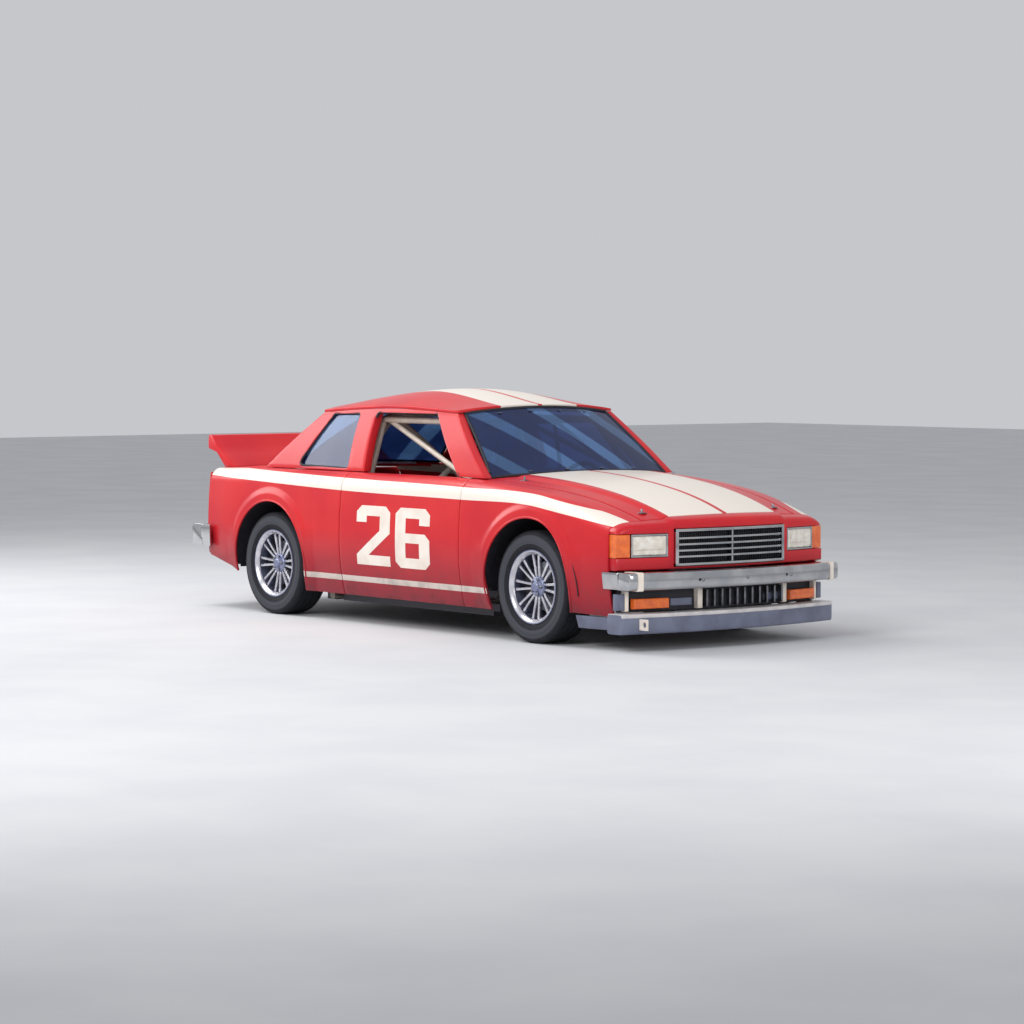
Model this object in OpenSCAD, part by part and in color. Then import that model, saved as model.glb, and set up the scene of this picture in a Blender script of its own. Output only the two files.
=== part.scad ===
// Stock car: two-door coupe body on a perimeter frame, with roll cage.
// +X is forward, +Y is to the driver's left, +Z is up. The origin lies on the ground,
// on the centreline, half way between the two bumpers.

/* [Running gear] */
// Distance between the axles
wheelbase = 2794; // [2740:2:2850]
// Front axle to the middle of the car
front_axle_x = 1440; // [1420:5:1460]
// Radius of the tyres
tyre_radius = 347; // [335:1:350]
// Width of the tyres
tyre_width = 236; // [210:2:240]
// Outer face of the tyres from the centreline
track_half = 878; // [865:1:882]
// Radius of the wheel arches
arch_radius = 425; // [420:1:435]

/* [Body] */
// Half length over the bumpers
half_length = 2440; // [2430:5:2460]
// Half width at the doors
body_half = 912; // [905:1:920]
// Height of the roof in the middle
roof_height = 1535; // [1510:1:1550]
// Height of the bottom of the doors
sill_z = 185; // [175:1:200]
// Fall of the nose and the tail towards their corners, seen from above
end_bow = 100; // [60:5:120]
// Thickness of the body panels
panel_t = 12; // [8:1:14]
// Gap round doors and lids
shut_gap = 6; // [5:1:8]
// Raised section of the bonnet
bonnet_rise = 14; // [0:1:20]
// Stand-out of the wheel arch flares
flare_rise = 14; // [0:1:16]

/* [Doors and windows] */
// Front edge of the doors
door_front_x = 757; // [740:1:765]
// Rear edge of the doors
door_rear_x = -525; // [-535:1:-500]
// Half width of the roof at its rails
rail_half = 645; // [630:1:660]

/* [Roll cage] */
// Radius of the cage tubes
cage_r = 22; // [18:1:26]

/* [Hidden] */
rear_axle_x = front_axle_x - wheelbase;
wheel_mid = track_half - tyre_width / 2;
door_hinge_y = body_half + 8;
door_reach = door_front_x - door_rear_x;
waist_z = 560;
cab_rear_x = -1590;
lid_front_x = -1668;
header_x = 2236;
hood_rear_x = 945;
nose_x = 2300;
tail_x = -2300;
kingpin_y = 700;

// Height field and plan of the body, as [x, value] pairs
HALF_WIDTH = [[-2300, body_half - 62], [-2000, body_half - 27], [-1354, body_half - 6], [-400, body_half],
    [760, body_half], [1440, body_half - 8], [2000, body_half - 32], [2300, body_half - 62]];
SHOULDER_Z = [[-2300, 868], [-1600, 882], [-450, 882], [760, 872], [1440, 840], [1880, 772], [2300, 684]];
EDGE_Z = [[-2300, 968], [-1600, 985], [-450, 990], [760, 986], [1100, 966], [1440, 932], [1700, 896],
    [1900, 860], [2100, 812], [2300, 752]];
EDGE_Y = [[-2300, 735], [-1600, 772], [-450, 787], [760, 787], [1440, 765], [2000, 725], [2300, 690]];
CROWN = [[-2300, 14], [-1600, 24], [860, 34], [1440, 40], [2000, 30], [2300, 14]];
HOOD_SEAM = [[700, 712], [945, 702], [2300, 620]];
HOOD_CREASE = [[945, 560], [2300, 440]];
LID_SEAM = [[-2300, 700], [-1600, 722]];
RAIL_Z = [[-1080, 1390], [-800, 1410], [-250, 1430], [404, 1406]];
ROOF_CROWN = [[-1080, 58], [-650, roof_height - 1440], [-200, roof_height - 1430], [450, 36]];

// ---- Curves -------------------------------------------------------------------------------------

function lerp(a, b, t) = a + (b - a) * t;
function clamp(v, low, high) = min(max(v, low), high);
function smooth(t) = let (c = clamp(t, 0, 1)) c * c * (3 - 2 * c);
function spread(a, b, n) = [for (i = [0 : n]) lerp(a, b, i / n)];

// Smooth curve through [position, value] pairs, level beyond its ends
function rise(keys, i) = (keys[i + 1][1] - keys[i][1]) / (keys[i + 1][0] - keys[i][0]);
function slope(keys, i) = i == 0 ? rise(keys, 0) : i == len(keys) - 1 ? rise(keys, i - 1)
    : (rise(keys, i - 1) + rise(keys, i)) / 2;
function key_before(x, keys, i = 0) = i >= len(keys) - 2 || x < keys[i + 1][0] ? i
    : key_before(x, keys, i + 1);
function curve(x, keys) = let (
        i = key_before(x, keys),
        h = keys[i + 1][0] - keys[i][0],
        t = clamp((x - keys[i][0]) / h, 0, 1))
    (2 * t * t * t - 3 * t * t + 1) * keys[i][1] + (t * t * t - 2 * t * t + t) * h * slope(keys, i)
    + (3 * t * t - 2 * t * t * t) * keys[i + 1][1] + (t * t * t - t * t) * h * slope(keys, i + 1);

// ---- Body surface (left half, y positive) ---------------------------------------------------------

// Flare round a wheel arch, fading out above its lip
function flare(x, z, axle_x) = let (d = norm([x - axle_x, z - tyre_radius]) - arch_radius)
    flare_rise * (1 - smooth((d - 45) / 55));
function side_y(x, z) = curve(x, HALF_WIDTH)
    - (z < waist_z ? 48 * pow((waist_z - z) / 370, 2) : 24 * pow((z - waist_z) / 350, 2))
    + max(flare(x, z, front_axle_x), flare(x, z, rear_axle_x));
function hood_lift(x, y) = x < hood_rear_x - 1 ? 0
    : bonnet_rise * (1 - smooth((abs(y) - curve(x, HOOD_CREASE)) / 40));
function top_z(x, y) = curve(x, EDGE_Z) + curve(x, CROWN) * (1 - pow(y / curve(x, EDGE_Y), 2))
    + hood_lift(x, y);
// Nose and tail bend back towards the corners, seen from above
function bow(p) = let (k = pow(p.y / 860, 2) * end_bow)
    [p.x - k * smooth((p.x - 1500) / 750) + k * smooth((-p.x - 1700) / 550), p.y, p.z];

side_rows = [0, 0.12, 0.26, 0.45, 0.7, 1];
shoulder_angles = [22.5, 45, 67.5, 90];

// One column of a side panel, from its foot [x, z] up over the shoulder at x_top, then inward to seam_y
function side_column(foot, x_top, inset, seam_y) = let (
        zs = curve(x_top, SHOULDER_Z),
        ze = curve(x_top, EDGE_Z),
        ye = curve(x_top, EDGE_Y),
        ys = side_y(x_top, zs))
    [for (p = concat(
        [for (f = side_rows) let (x = lerp(foot.x, x_top, f), z = lerp(foot.y, zs, f))
            [x, side_y(x, z) - inset, z]],
        [for (a = shoulder_angles)
            [x_top, ye + (ys - ye) * cos(a) - inset * cos(a), zs + (ze - zs) * sin(a) - inset * sin(a)]],
        seam_y == undef ? [] : [[x_top, seam_y, top_z(x_top, seam_y) - inset]])) bow(p)];
// Feet of the columns round a wheel arch, from its rear leg to its front leg
function arch_feet(axle_x, rear_angle, front_angle, n) = [for (a = spread(rear_angle, front_angle, n))
    [axle_x + arch_radius * cos(a), tyre_radius + arch_radius * sin(a)]];
function leg_angle(z) = asin((z - tyre_radius) / arch_radius);

// ---- Solids from grids ---------------------------------------------------------------------------

function perimeter(m, n) = concat(
    [for (i = [0 : m - 2]) i * n],
    [for (j = [0 : n - 2]) (m - 1) * n + j],
    [for (i = [m - 1 : -1 : 1]) i * n + n - 1],
    [for (j = [n - 1 : -1 : 1]) j]);

// Closed solid between two grids of points: rows run forward, columns run up the left side and over
module shell(outer, inner) {
    m = len(outer);
    n = len(outer[0]);
    k = m * n;
    rim = perimeter(m, n);
    polyhedron(
        points = concat([for (row = outer) each row], [for (row = inner) each row]),
        faces = concat(
            [for (i = [m - 2 : -1 : 0], j = [n - 2 : -1 : 0]) let (c = i * n + j) each
                [[c, c + n, c + n + 1], [c, c + n + 1, c + 1]]],
            [for (i = [0 : m - 2], j = [0 : n - 2]) let (c = i * n + j + k) each
                [[c, c + n + 1, c + n], [c, c + 1, c + n + 1]]],
            [for (s = [0 : len(rim) - 1]) let (p = rim[s], q = rim[(s + 1) % len(rim)]) each
                [[q, p, p + k], [q, p + k, q + k]]]));
}

module both_sides() {
    children();
    mirror([0, 1, 0]) children();
}

// Patch of the body's top surface between two x positions and two half widths
module top_patch(xs, y_at, t, columns) {
    outer = [for (x = xs) [for (v = columns) let (y = v * y_at(x)) bow([x, y, top_z(x, y)])]];
    inner = [for (x = xs) [for (v = columns) let (y = v * y_at(x)) bow([x, y, top_z(x, y) - t])]];
    shell(outer, inner);
}

// Closed solid through rings of points that run from right to left, each ring flat and convex
module ring_solid(rings) {
    n = len(rings[0]);
    last = len(rings) - 1;
    polyhedron(
        points = [for (ring = rings) each ring],
        faces = concat(
            [[for (j = [0 : n - 1]) j]],
            [[for (j = [n - 1 : -1 : 0]) last * n + j]],
            [for (i = [0 : last - 1], j = [0 : n - 1]) let (a = i * n + j, b = i * n + (j + 1) % n) each
                [[a, a + n, b + n], [a, b + n, b]]]));
}

// Bar across the car whose front and rear faces follow the bowed nose or tail
module cross_bar(x_low, x_high, half_y, z_low, z_high, lip, parts) {
    ring_solid([for (y = spread(-half_y, half_y, parts)) [for (p = [[x_low, y, z_low], [x_low, y, z_high],
        [x_high - lip, y, z_high], [x_high, y, z_high - lip], [x_high, y, z_low + lip],
        [x_high - lip, y, z_low]]) bow(p)]]);
}

// Strip along the left side of the body, standing proud of it
module side_strip(x_low, x_high, z_low, z_high, proud, t) {
    function grid(out) = [for (x = spread(x_low, x_high, 6)) [for (z = spread(z_low, z_high, 2))
        bow([x, curve(x, HALF_WIDTH) - 48 * pow((waist_z - z) / 370, 2) + out, z])]];
    shell(grid(proud), grid(proud - t));
}

// Box given by its low and high corners
module block(low, high) {
    translate(low) cube(high - low);
}

module rod(a, b, r) {
    d = b - a;
    translate(a) rotate([0, acos(d.z / norm(d)), atan2(d.y, d.x)]) cylinder(r = r, h = norm(d), $fn = 24);
}

// Direction of a path at one of its points, and a side direction carried along it without twist
function unit(v) = v / norm(v);
function heading(path, i) = let (last = len(path) - 1)
    unit((i == 0 ? [0, 0, 0] : unit(path[i] - path[i - 1]))
        + (i == last ? [0, 0, 0] : unit(path[i + 1] - path[i])));
function side_of(path, i) = let (
        t = heading(path, i),
        from = i == 0 ? (abs(t.x) < 0.8 ? [1, 0, 0] : [0, 1, 0]) : side_of(path, i - 1))
    unit(from - t * (from * t));

// Ten-sided tube through a list of points
module tube_run(path, r, sides = 10) {
    last = len(path) - 1;
    polyhedron(
        points = [for (i = [0 : last]) let (u = side_of(path, i), v = cross(heading(path, i), u)) each
            [for (k = [0 : sides - 1]) path[i] + r * (cos(k * 360 / sides) * u + sin(k * 360 / sides) * v)]],
        faces = concat(
            [[for (k = [0 : sides - 1]) k]],
            [[for (k = [sides - 1 : -1 : 0]) last * sides + k]],
            [for (i = [0 : last - 1], k = [0 : sides - 1])
                let (a = i * sides + k, b = i * sides + (k + 1) % sides) each
                [[a, a + sides, b + sides], [a, b + sides, b]]]));
}

// ---- Body panels ---------------------------------------------------------------------------------

quarter_front_x = door_rear_x - shut_gap;
fender_rear_x = door_front_x + shut_gap;
tail_foot_z = 372;

// Shift that makes a rear shut face follow the arc the door swings through
function door_arc(y) = door_reach - sqrt(pow(door_reach, 2) - pow(door_hinge_y - y, 2));

module quarter_panel() {
    rear_leg = 180 - leg_angle(275);
    front_leg = leg_angle(sill_z);
    feet = concat([[-2270, 366], [-2100, 336], [-1900, 305]],
        arch_feet(rear_axle_x, rear_leg, front_leg, 14),
        [[-880, sill_z], [-720, sill_z], [quarter_front_x, sill_z]]);
    tops = concat([-2270, -2130, -2000], spread(-1880, -890, 14), [-800, -670, quarter_front_x]);
    seam = function(x) x < cab_rear_x - 20 ? curve(x, LID_SEAM) + 5 : 752;
    function column(i, inset) = [for (p = side_column(feet[i], tops[i], inset, seam(tops[i])))
        i == len(feet) - 1 ? [p.x + door_arc(p.y), p.y, p.z] : p];
    shell([for (i = [0 : len(feet) - 1]) column(i, 0)], [for (i = [0 : len(feet) - 1]) column(i, panel_t)]);
}

module quarter_panels() {
    color("firebrick") both_sides() quarter_panel();
}

module fender() {
    rear_leg = 180 - leg_angle(sill_z);
    front_leg = leg_angle(215);
    feet = concat([[fender_rear_x, sill_z], [900, sill_z]],
        arch_feet(front_axle_x, rear_leg, front_leg, 14),
        [[1960, 212], [2090, 208], [header_x - 1, 205]]);
    tops = concat([fender_rear_x, 860], spread(955, 1900, 14), [2000, 2110, header_x - 1]);
    function column(i, inset) = side_column(feet[i], tops[i], inset, curve(tops[i], HOOD_SEAM) + 5);
    shell([for (i = [0 : len(feet) - 1]) column(i, 0)], [for (i = [0 : len(feet) - 1]) column(i, panel_t)]);
}

module fenders() {
    color("firebrick") both_sides() fender();
}

door_inner_y = 772;

module door() {
    xs = spread(door_rear_x, door_front_x, 8);
    function outer(x) = side_column([x, sill_z], x, 0);
    function inner(x) = [for (p = outer(x)) let (over = clamp((p.z - 880) / 106, 0, 1))
        [p.x, door_inner_y - 34 * over, p.z - 12 * over]];
    function hung(x, column) = [for (p = column) x > door_rear_x ? p : [p.x + door_arc(p.y), p.y, p.z]];
    shell([for (x = xs) hung(x, outer(x))], [for (x = xs) hung(x, inner(x))]);
}

module door_left() {
    color("firebrick") door();
}

module door_right() {
    color("firebrick") mirror([0, 1, 0]) door();
}

module hood() {
    crease = [-0.99, -0.86, -0.8, -0.74, -0.5, -0.25, 0, 0.25, 0.5, 0.74, 0.8, 0.86, 0.99];
    xs = spread(hood_rear_x + shut_gap, header_x - shut_gap, 12);
    color("firebrick") top_patch(xs, function(x) curve(x, HOOD_SEAM), 24, [for (v = crease) -v]);
}

module trunk_lid() {
    xs = [-2270, -2200, -2060, -1920, -1800, lid_front_x];
    color("firebrick") top_patch(xs, function(x) curve(x, LID_SEAM), 26, spread(0.995, -0.995, 8));
}

// Deck spoiler: a leaning blade with a thick lip, standing on the trunk lid
spoiler_half = 698;

module spoiler() {
    function base(x, y) = bow([x, y, top_z(x, y) + 1.5]);
    // The lip bends back less than the lid under its foot
    function lip(p) = [p.x + 0.35 * (bow(p).x - p.x), p.y, p.z];
    ys = spread(-spoiler_half, spoiler_half, 8);
    color("firebrick") union() {
        ring_solid([for (y = ys) [base(-2150, y), base(-2268, y), lip([-2330, y, 1072]),
            lip([-2384, y, 1190])]]);
        ring_solid([for (y = ys) [for (p = [[-2330, y, 1072], [-2436, y, 1100], [-2436, y, 1176],
            [-2414, y, 1196], [-2384, y, 1190]]) lip(p)]]);
    }
}

windscreen_bow = 64;
rear_glass_bow = 56;
screen_top_x = 404;
screen_foot_x = 866;
rear_top_x = -1065;

// Roof skin: x along the car for a fraction f of its length, v across it
function roof_point(f, v, drop) = let (
        x = lerp(rear_top_x - 30 * (1 - v * v), screen_top_x + 45 * (1 - v * v), f))
    [x, rail_half * v, curve(x, RAIL_Z) + curve(x, ROOF_CROWN) * (1 - pow(abs(v), 2.4)) - drop];

module roof() {
    vs = [1, 0.93, 0.8, 0.55, 0.28, 0, -0.28, -0.55, -0.8, -0.93, -1];
    color("firebrick") shell(
        [for (f = spread(0, 1, 10)) [for (v = vs) roof_point(f, v, 0)]],
        [for (f = spread(0, 1, 10)) [for (v = vs) roof_point(f, v, 18)]]);
}

// Side of the cab: x runs between a foot and a head position, u runs from belt to roof rail
function cab_point(foot_x, head_x, u, inset) = let (
        x = lerp(foot_x, head_x, u),
        base_z = max(curve(foot_x, EDGE_Z), 985) + 6,
        base_y = foot_x < -900 ? lerp(768, 784, clamp((foot_x - cab_rear_x) / 690, 0, 1)) : 784)
    [x, lerp(base_y, rail_half - 1, u) + 14 * sin(180 * u) - inset,
        lerp(base_z, curve(head_x, RAIL_Z) - 19, u)];

cab_feet = [cab_rear_x, -1380, -1199, -900, -608, -417, 0, 605, 735, screen_foot_x];
cab_heads = [rear_top_x, -985, -940, -790, -631, -451, -130, 203, 303, screen_top_x];

door_opening = [[-417, 900], [605, 900], [605, 980], [203, 1384], [-451, 1384]];
quarter_opening = [[-1199, 1016], [-608, 1010], [-631, 1374], [-940, 1368]];

// Prism across the car with rounded corners, smaller all round by a gap
module window_cut(points, gap) {
    rotate([90, 0, 0]) linear_extrude(2400, center = true) offset(r = 34 - gap, $fn = 24)
        offset(delta = -34) polygon(points);
}

module pillars() {
    rows = spread(0, 1, 6);
    color("firebrick") both_sides() difference() {
        shell(
            [for (i = [0 : len(cab_feet) - 1]) [for (u = rows) cab_point(cab_feet[i], cab_heads[i], u, 0)]],
            [for (i = [0 : len(cab_feet) - 1]) [for (u = rows) cab_point(cab_feet[i], cab_heads[i], u, 56)]]);
        window_cut(door_opening, 0);
        window_cut(quarter_opening, 0);
    }
}

glass_t = 6;

function windscreen_point(u, v, drop) = let (
        y = v * lerp(724, 584, u),
        k = 1 - v * v)
    [lerp(screen_foot_x - 6, screen_top_x - 2, u) + k * windscreen_bow + 10 * sin(180 * u) - drop, y,
        lerp(top_z(screen_foot_x - 6 + k * windscreen_bow, y) + 2, curve(404, RAIL_Z) - 14 + 36 * k, u)];
function rear_window_point(u, v, drop) = let (
        y = v * lerp(706, 582, u),
        k = 1 - v * v)
    [lerp(cab_rear_x + 6, rear_top_x + 2, u) - k * rear_glass_bow - 10 * sin(180 * u) + drop, y,
        lerp(top_z(cab_rear_x + 6 - k * rear_glass_bow, y) + 3, curve(rear_top_x, RAIL_Z) - 16 + 50 * k, u)];

module windows() {
    us = spread(0, 1, 5);
    vs = spread(1, -1, 10);
    color("midnightblue") {
        shell([for (u = us) [for (v = -vs) windscreen_point(u, v, 0)]],
            [for (u = us) [for (v = -vs) windscreen_point(u, v, glass_t)]]);
        shell([for (u = us) [for (v = vs) rear_window_point(u, v, 0)]],
            [for (u = us) [for (v = vs) rear_window_point(u, v, glass_t)]]);
        both_sides() quarter_window();
    }
}

module quarter_window() {
    feet = [-1230, -1000, -800, -590];
    heads = [-960, -830, -730, -615];
    rows = [0.02, 0.3, 0.55, 0.8, 0.97];
    intersection() {
        shell([for (i = [0 : 3]) [for (u = rows) cab_point(feet[i], heads[i], u, 16)]],
            [for (i = [0 : 3]) [for (u = rows) cab_point(feet[i], heads[i], u, 16 + glass_t)]]);
        window_cut(quarter_opening, 2);
    }
}

// Cowl ahead of the windscreen, and the deck behind the rear window
module scuttle_panels() {
    color("firebrick") {
        top_patch([screen_foot_x - 16, 900, hood_rear_x - 2], function(x) curve(x, HOOD_SEAM), 14,
            spread(0.99, -0.99, 8));
        top_patch([lid_front_x + shut_gap, -1640, cab_rear_x + 30], function(x) curve(x, LID_SEAM) - 1, 14,
            spread(0.99, -0.99, 8));
    }
}

// ---- Nose and tail -------------------------------------------------------------------------------

lamp_inner = 486;
lamp_split = 746;
lamp_low = 557;
lamp_high = 702;
grille_half = 448;
nose_half = 843;
nose_low = 484;

// Height of the header panel's top face: the hood's surface, then the fenders' shoulders
function header_z(x, y) = let (
        ye = curve(x, EDGE_Y),
        zs = curve(x, SHOULDER_Z),
        ys = side_y(x, zs),
        out = clamp((abs(y) - ye) / (ys - ye), 0, 1))
    abs(y) < ye ? top_z(x, y) : zs + (curve(x, EDGE_Z) - zs) * sqrt(1 - out * out);

module nose_panel() {
    ys = [-nose_half, -835, -815, -780, -735, -690, -600, -490, -440, -220, 0, 220, 440, 490, 600, 690, 735,
        780, 815, 835, nose_half];
    function ring(y) = [[header_x, y, nose_low], [header_x, y, header_z(header_x, y)],
        [nose_x - 22, y, header_z(nose_x - 22, y)], [nose_x, y, header_z(nose_x, y) - 20],
        [nose_x, y, nose_low + 6], [nose_x - 6, y, nose_low]];
    color("firebrick") difference() {
        ring_solid([for (y = ys) [for (p = ring(y)) bow(p)]]);
        block([2000, -grille_half, 497], [2400, grille_half, 727]);
        for (s = [-1, 1]) {
            block([2000, min(s * lamp_inner, s * 900), lamp_low],
                [2400, max(s * lamp_inner, s * 900), lamp_high]);
        }
    }
}

module grille() {
    color("silver") difference() {
        cross_bar(2262, nose_x + 14, grille_half - 3, 500, 724, 4, 8);
        for (z = [518, 571, 624, 677], s = [0, 1]) {
            block([2240, lerp(-418, 12, s), z], [2400, lerp(-12, 418, s), z + 30]);
        }
    }
}

module headlights() {
    color("ivory") both_sides() intersection() {
        cross_bar(2222, nose_x - 6, nose_half, lamp_low + 3, lamp_high - 3, 4, 14);
        block([2000, lamp_inner + 3, 500], [2400, lamp_split - 3, 800]);
    }
}

module signal_lamps() {
    color("darkorange") both_sides() {
        intersection() {
            cross_bar(header_x, nose_x - 6, nose_half, lamp_low + 3, lamp_high - 3, 4, 14);
            block([2000, lamp_split + 3, 500], [2400, nose_half + 10, 800]);
        }
        intersection() {
            cross_bar(2288, 2322, 800, 254, 316, 3, 14);
            block([2000, 500, 200], [2400, 740, 400]);
        }
    }
}

module lower_grille() {
    slats = 9;
    color("black") union() {
        cross_bar(2232, 2270, nose_half - 44, 232, 366, 3, 14);
        for (i = [0 : slats - 1]) {
            y = lerp(-250, 250, i / (slats - 1));
            block([2240, y - 9, 250], [2290, y + 9, 350]);
        }
    }
}

// Bumper bar with ends that wrap round the corners
module bumper(half, z_low, z_high, proud, t) {
    cross_bar(nose_x + 10, half_length, half, z_low, z_high, 22, 16);
    both_sides() side_strip(2205, 2330, z_low + 2, z_high - 2, proud, t);
}

module front_bumper() {
    color("silver") bumper(nose_half + 11, 372, 478, 15, 10);
}

module rear_bumper() {
    color("silver") mirror([1, 0, 0]) bumper(body_half - 24, 424, 578, 40, 19);
}

tow_eye_r = 17;
tow_eye_t = 12;

// Upright lug with a hole across the car, between two corners given as [x, z]
module tow_eye(low, high, y, hole) {
    difference() {
        block([low.x, y - tow_eye_t / 2, low.y], [high.x, y + tow_eye_t / 2, high.y]);
        translate([hole.x, y, hole.y]) rotate([90, 0, 0])
            cylinder(r = tow_eye_r, h = tow_eye_t + 20, center = true, $fn = 48);
    }
}

module front_valance() {
    color("slategray") union() {
        cross_bar(2250, 2378, body_half - 46, 108, 226, 16, 16);
        both_sides() side_strip(1880, 2290, 122, 200, 4, 26);
        tow_eye([2290, 134], [2372, 200], 700, [2345, 167]);
    }
}

module tail_panel() {
    color("firebrick") mirror([1, 0, 0]) difference() {
        cross_bar(2282, -tail_x, 806, 372, 940, 6, 14);
        for (s = [-1, 1]) {
            block([2100, min(s * 360, s * 780), 700], [2400, max(s * 360, s * 780), 850]);
        }
    }
}

module tail_lights() {
    color("darkred") mirror([1, 0, 0]) both_sides() intersection() {
        cross_bar(2262, -tail_x + 6, 806, 703, 847, 4, 14);
        block([2000, 363, 600], [2400, 777, 900]);
    }
}

// ---- Frame, floor and mechanical parts --------------------------------------------------------------

floor_z = 212;
rail_low = 128;
pipe_z = 172;
pipe_r = 28;
muffler_r = 38;

module chassis_frame() {
    color("dimgray") union() {
        both_sides() difference() {
            block([-900, 640, rail_low], [900, 740, floor_z - 6]);
            // Notch for the exhaust outlet
            block([-802, 600, rail_low - 10], [-718, 780, pipe_z + pipe_r]);
        }
        both_sides() {
            block([800, 330, rail_low + 30], [960, 740, floor_z - 6]);
            block([906, 330, rail_low + 72], [2180, 390, 290]);
            block([-900, 440, rail_low + 20], [-840, 740, floor_z - 6]);
            block([-900, 440, rail_low + 40], [-845, 500, 560]);
            block([-2230, 440, 500], [-845, 500, 560]);
        }
        block([2120, -390, 200], [2180, 390, 290]);
        block([1090, -390, 206], [1150, 390, 256]);
        block([200, -740, rail_low], [260, 740, rail_low + 14]);
        block([-2230, -500, 500], [-2180, 500, 560]);
        tow_eye([-2230, 276], [-2180, 510], 0, [-2205, 305]);
    }
}

module floor_pan() {
    half = 630;
    color("gray") union() {
        rotate([90, 0, 90]) translate([0, 0, -836]) linear_extrude(1740) polygon([
            [-half, floor_z], [-172, floor_z], [-150, 470], [150, 470], [172, floor_z], [half, floor_z],
            [half, floor_z + 6], [178, floor_z + 6], [156, 476], [-156, 476], [-178, floor_z + 6],
            [-half, floor_z + 6]]);
        difference() {
            block([898, -660, floor_z], [904, 660, 940]);
            block([800, -150, 100], [950, 150, 470]);
        }
        difference() {
            block([-842, -430, floor_z], [-836, 430, 566]);
            translate([-839, 0, 340]) rotate([0, 90, 0]) cylinder(r = 60, h = 40, center = true, $fn = 40);
        }
        block([-2170, -600, 561], [-836, 600, 567]);
    }
}

module engine_block() {
    color("dimgray") union() {
        block([1090, -210, 300], [1660, 210, 560]);
        block([1110, -300, 540], [1640, 300, 740]);
        block([1250, -120, 740], [1500, 120, 850]);
    }
}

module driveline() {
    color("gray") union() {
        translate([908, 0, 340]) rotate([0, 90, 0]) cylinder(r = 118, h = 170, $fn = 40);
        translate([400, 0, 340]) rotate([0, 90, 0]) cylinder(r = 96, h = 520, $fn = 40);
        translate([-1190, 0, 340]) rotate([0, 90, 0]) cylinder(r = 38, h = 1600, $fn = 32);
    }
}

module rear_axle() {
    color("dimgray") union() {
        translate([rear_axle_x, 0, tyre_radius]) rotate([90, 0, 0])
            cylinder(r = 42, h = 1330, center = true, $fn = 40);
        translate([rear_axle_x, 0, tyre_radius - 6]) rotate([90, 0, 0])
            cylinder(r = 145, h = 210, center = true, $fn = 48);
        both_sides() translate([rear_axle_x, 0, tyre_radius]) rotate([-90, 0, 0]) {
            translate([0, 0, 650]) cylinder(r = 138, h = 62, $fn = 48);
            translate([0, 0, 700]) cylinder(r = 34.95, h = 96, $fn = 48);
        }
    }
}

module front_suspension() {
    color("dimgray") both_sides() {
        for (dx = [-170, 170]) {
            rod([front_axle_x + dx, 398, 222], [front_axle_x, kingpin_y, 195], 13);
            rod([front_axle_x + dx * 0.6, 420, 500], [front_axle_x, kingpin_y, 495], 11);
        }
        translate([front_axle_x, kingpin_y, 184]) cylinder(r = 26, h = 26, $fn = 32);
        translate([front_axle_x, kingpin_y, 482]) cylinder(r = 24, h = 24, $fn = 32);
        block([front_axle_x - 120, 396, 480], [front_axle_x + 120, 430, 520]);
        translate([front_axle_x, 520, 232]) rotate([8, 0, 0]) cylinder(r = 50, h = 330, $fn = 32);
    }
}

module rear_suspension() {
    color("dimgray") both_sides() {
        rod([rear_axle_x + 20, 548, 285], [-905, 548, 250], 20);
        block([-925, 502, 225], [-885, 575, 275]);
        translate([rear_axle_x - 100, 400, 300]) cylinder(r = 46, h = 198, $fn = 32);
        block([rear_axle_x - 150, 380, 286], [rear_axle_x - 20, 430, 300]);
    }
}

module exhaust() {
    color("silver") both_sides() union() {
        tube_run([[1040, 262, 290], [1000, 262, 212], [935, 270, pipe_z], [100, 290, pipe_z],
            [-560, 330, pipe_z], [-690, 400, pipe_z - 2], [-760, 520, pipe_z - 4], [-760, 800, pipe_z - 6]],
            pipe_r);
        tube_run([[-480, 325, pipe_z], [20, 295, pipe_z]], muffler_r, 14);
    }
}

module fuel_cell() {
    color("black") block([-2120, -330, 250], [-1720, 330, 498]);
}

module radiator() {
    color("black") block([2040, -330, 296], [2095, 330, 690]);
}

module tub(axle_x, r, inner_y, outer_y, low_z) {
    difference() {
        translate([axle_x, outer_y, tyre_radius]) rotate([90, 0, 0])
            cylinder(r = r + 4, h = outer_y - inner_y, $fn = 72);
        translate([axle_x, outer_y + 5, tyre_radius]) rotate([90, 0, 0])
            cylinder(r = r, h = outer_y - inner_y + (inner_y > 500 ? 1 : 10), $fn = 72);
        block([axle_x - 600, 0, -300], [axle_x + 600, 1200, low_z]);
        // Slot for the axle
        block([axle_x - 60, inner_y - 20, 250], [axle_x + 60, inner_y + 20, 420]);
    }
}

module wheel_tubs() {
    color("black") both_sides() {
        tub(front_axle_x, 440, 430, 834, 300);
        tub(rear_axle_x, 436, 604, 846, 300);
    }
}

// ---- Cabin ---------------------------------------------------------------------------------------

hoop_x = -500;
hoop = [[hoop_x, 600, floor_z + 7], [hoop_x, 600, floor_z + 40], [hoop_x, 664, 520],
    [hoop_x, 678, 960], [hoop_x, 560, 1335],
    [hoop_x, 480, 1368]];
front_leg = [[800, 600, floor_z + 7], [800, 600, floor_z + 40], [770, 664, 520],
    [640, 684, 930], [330, 560, 1332]];
door_bar_z = [400, 560, 720];

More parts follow.
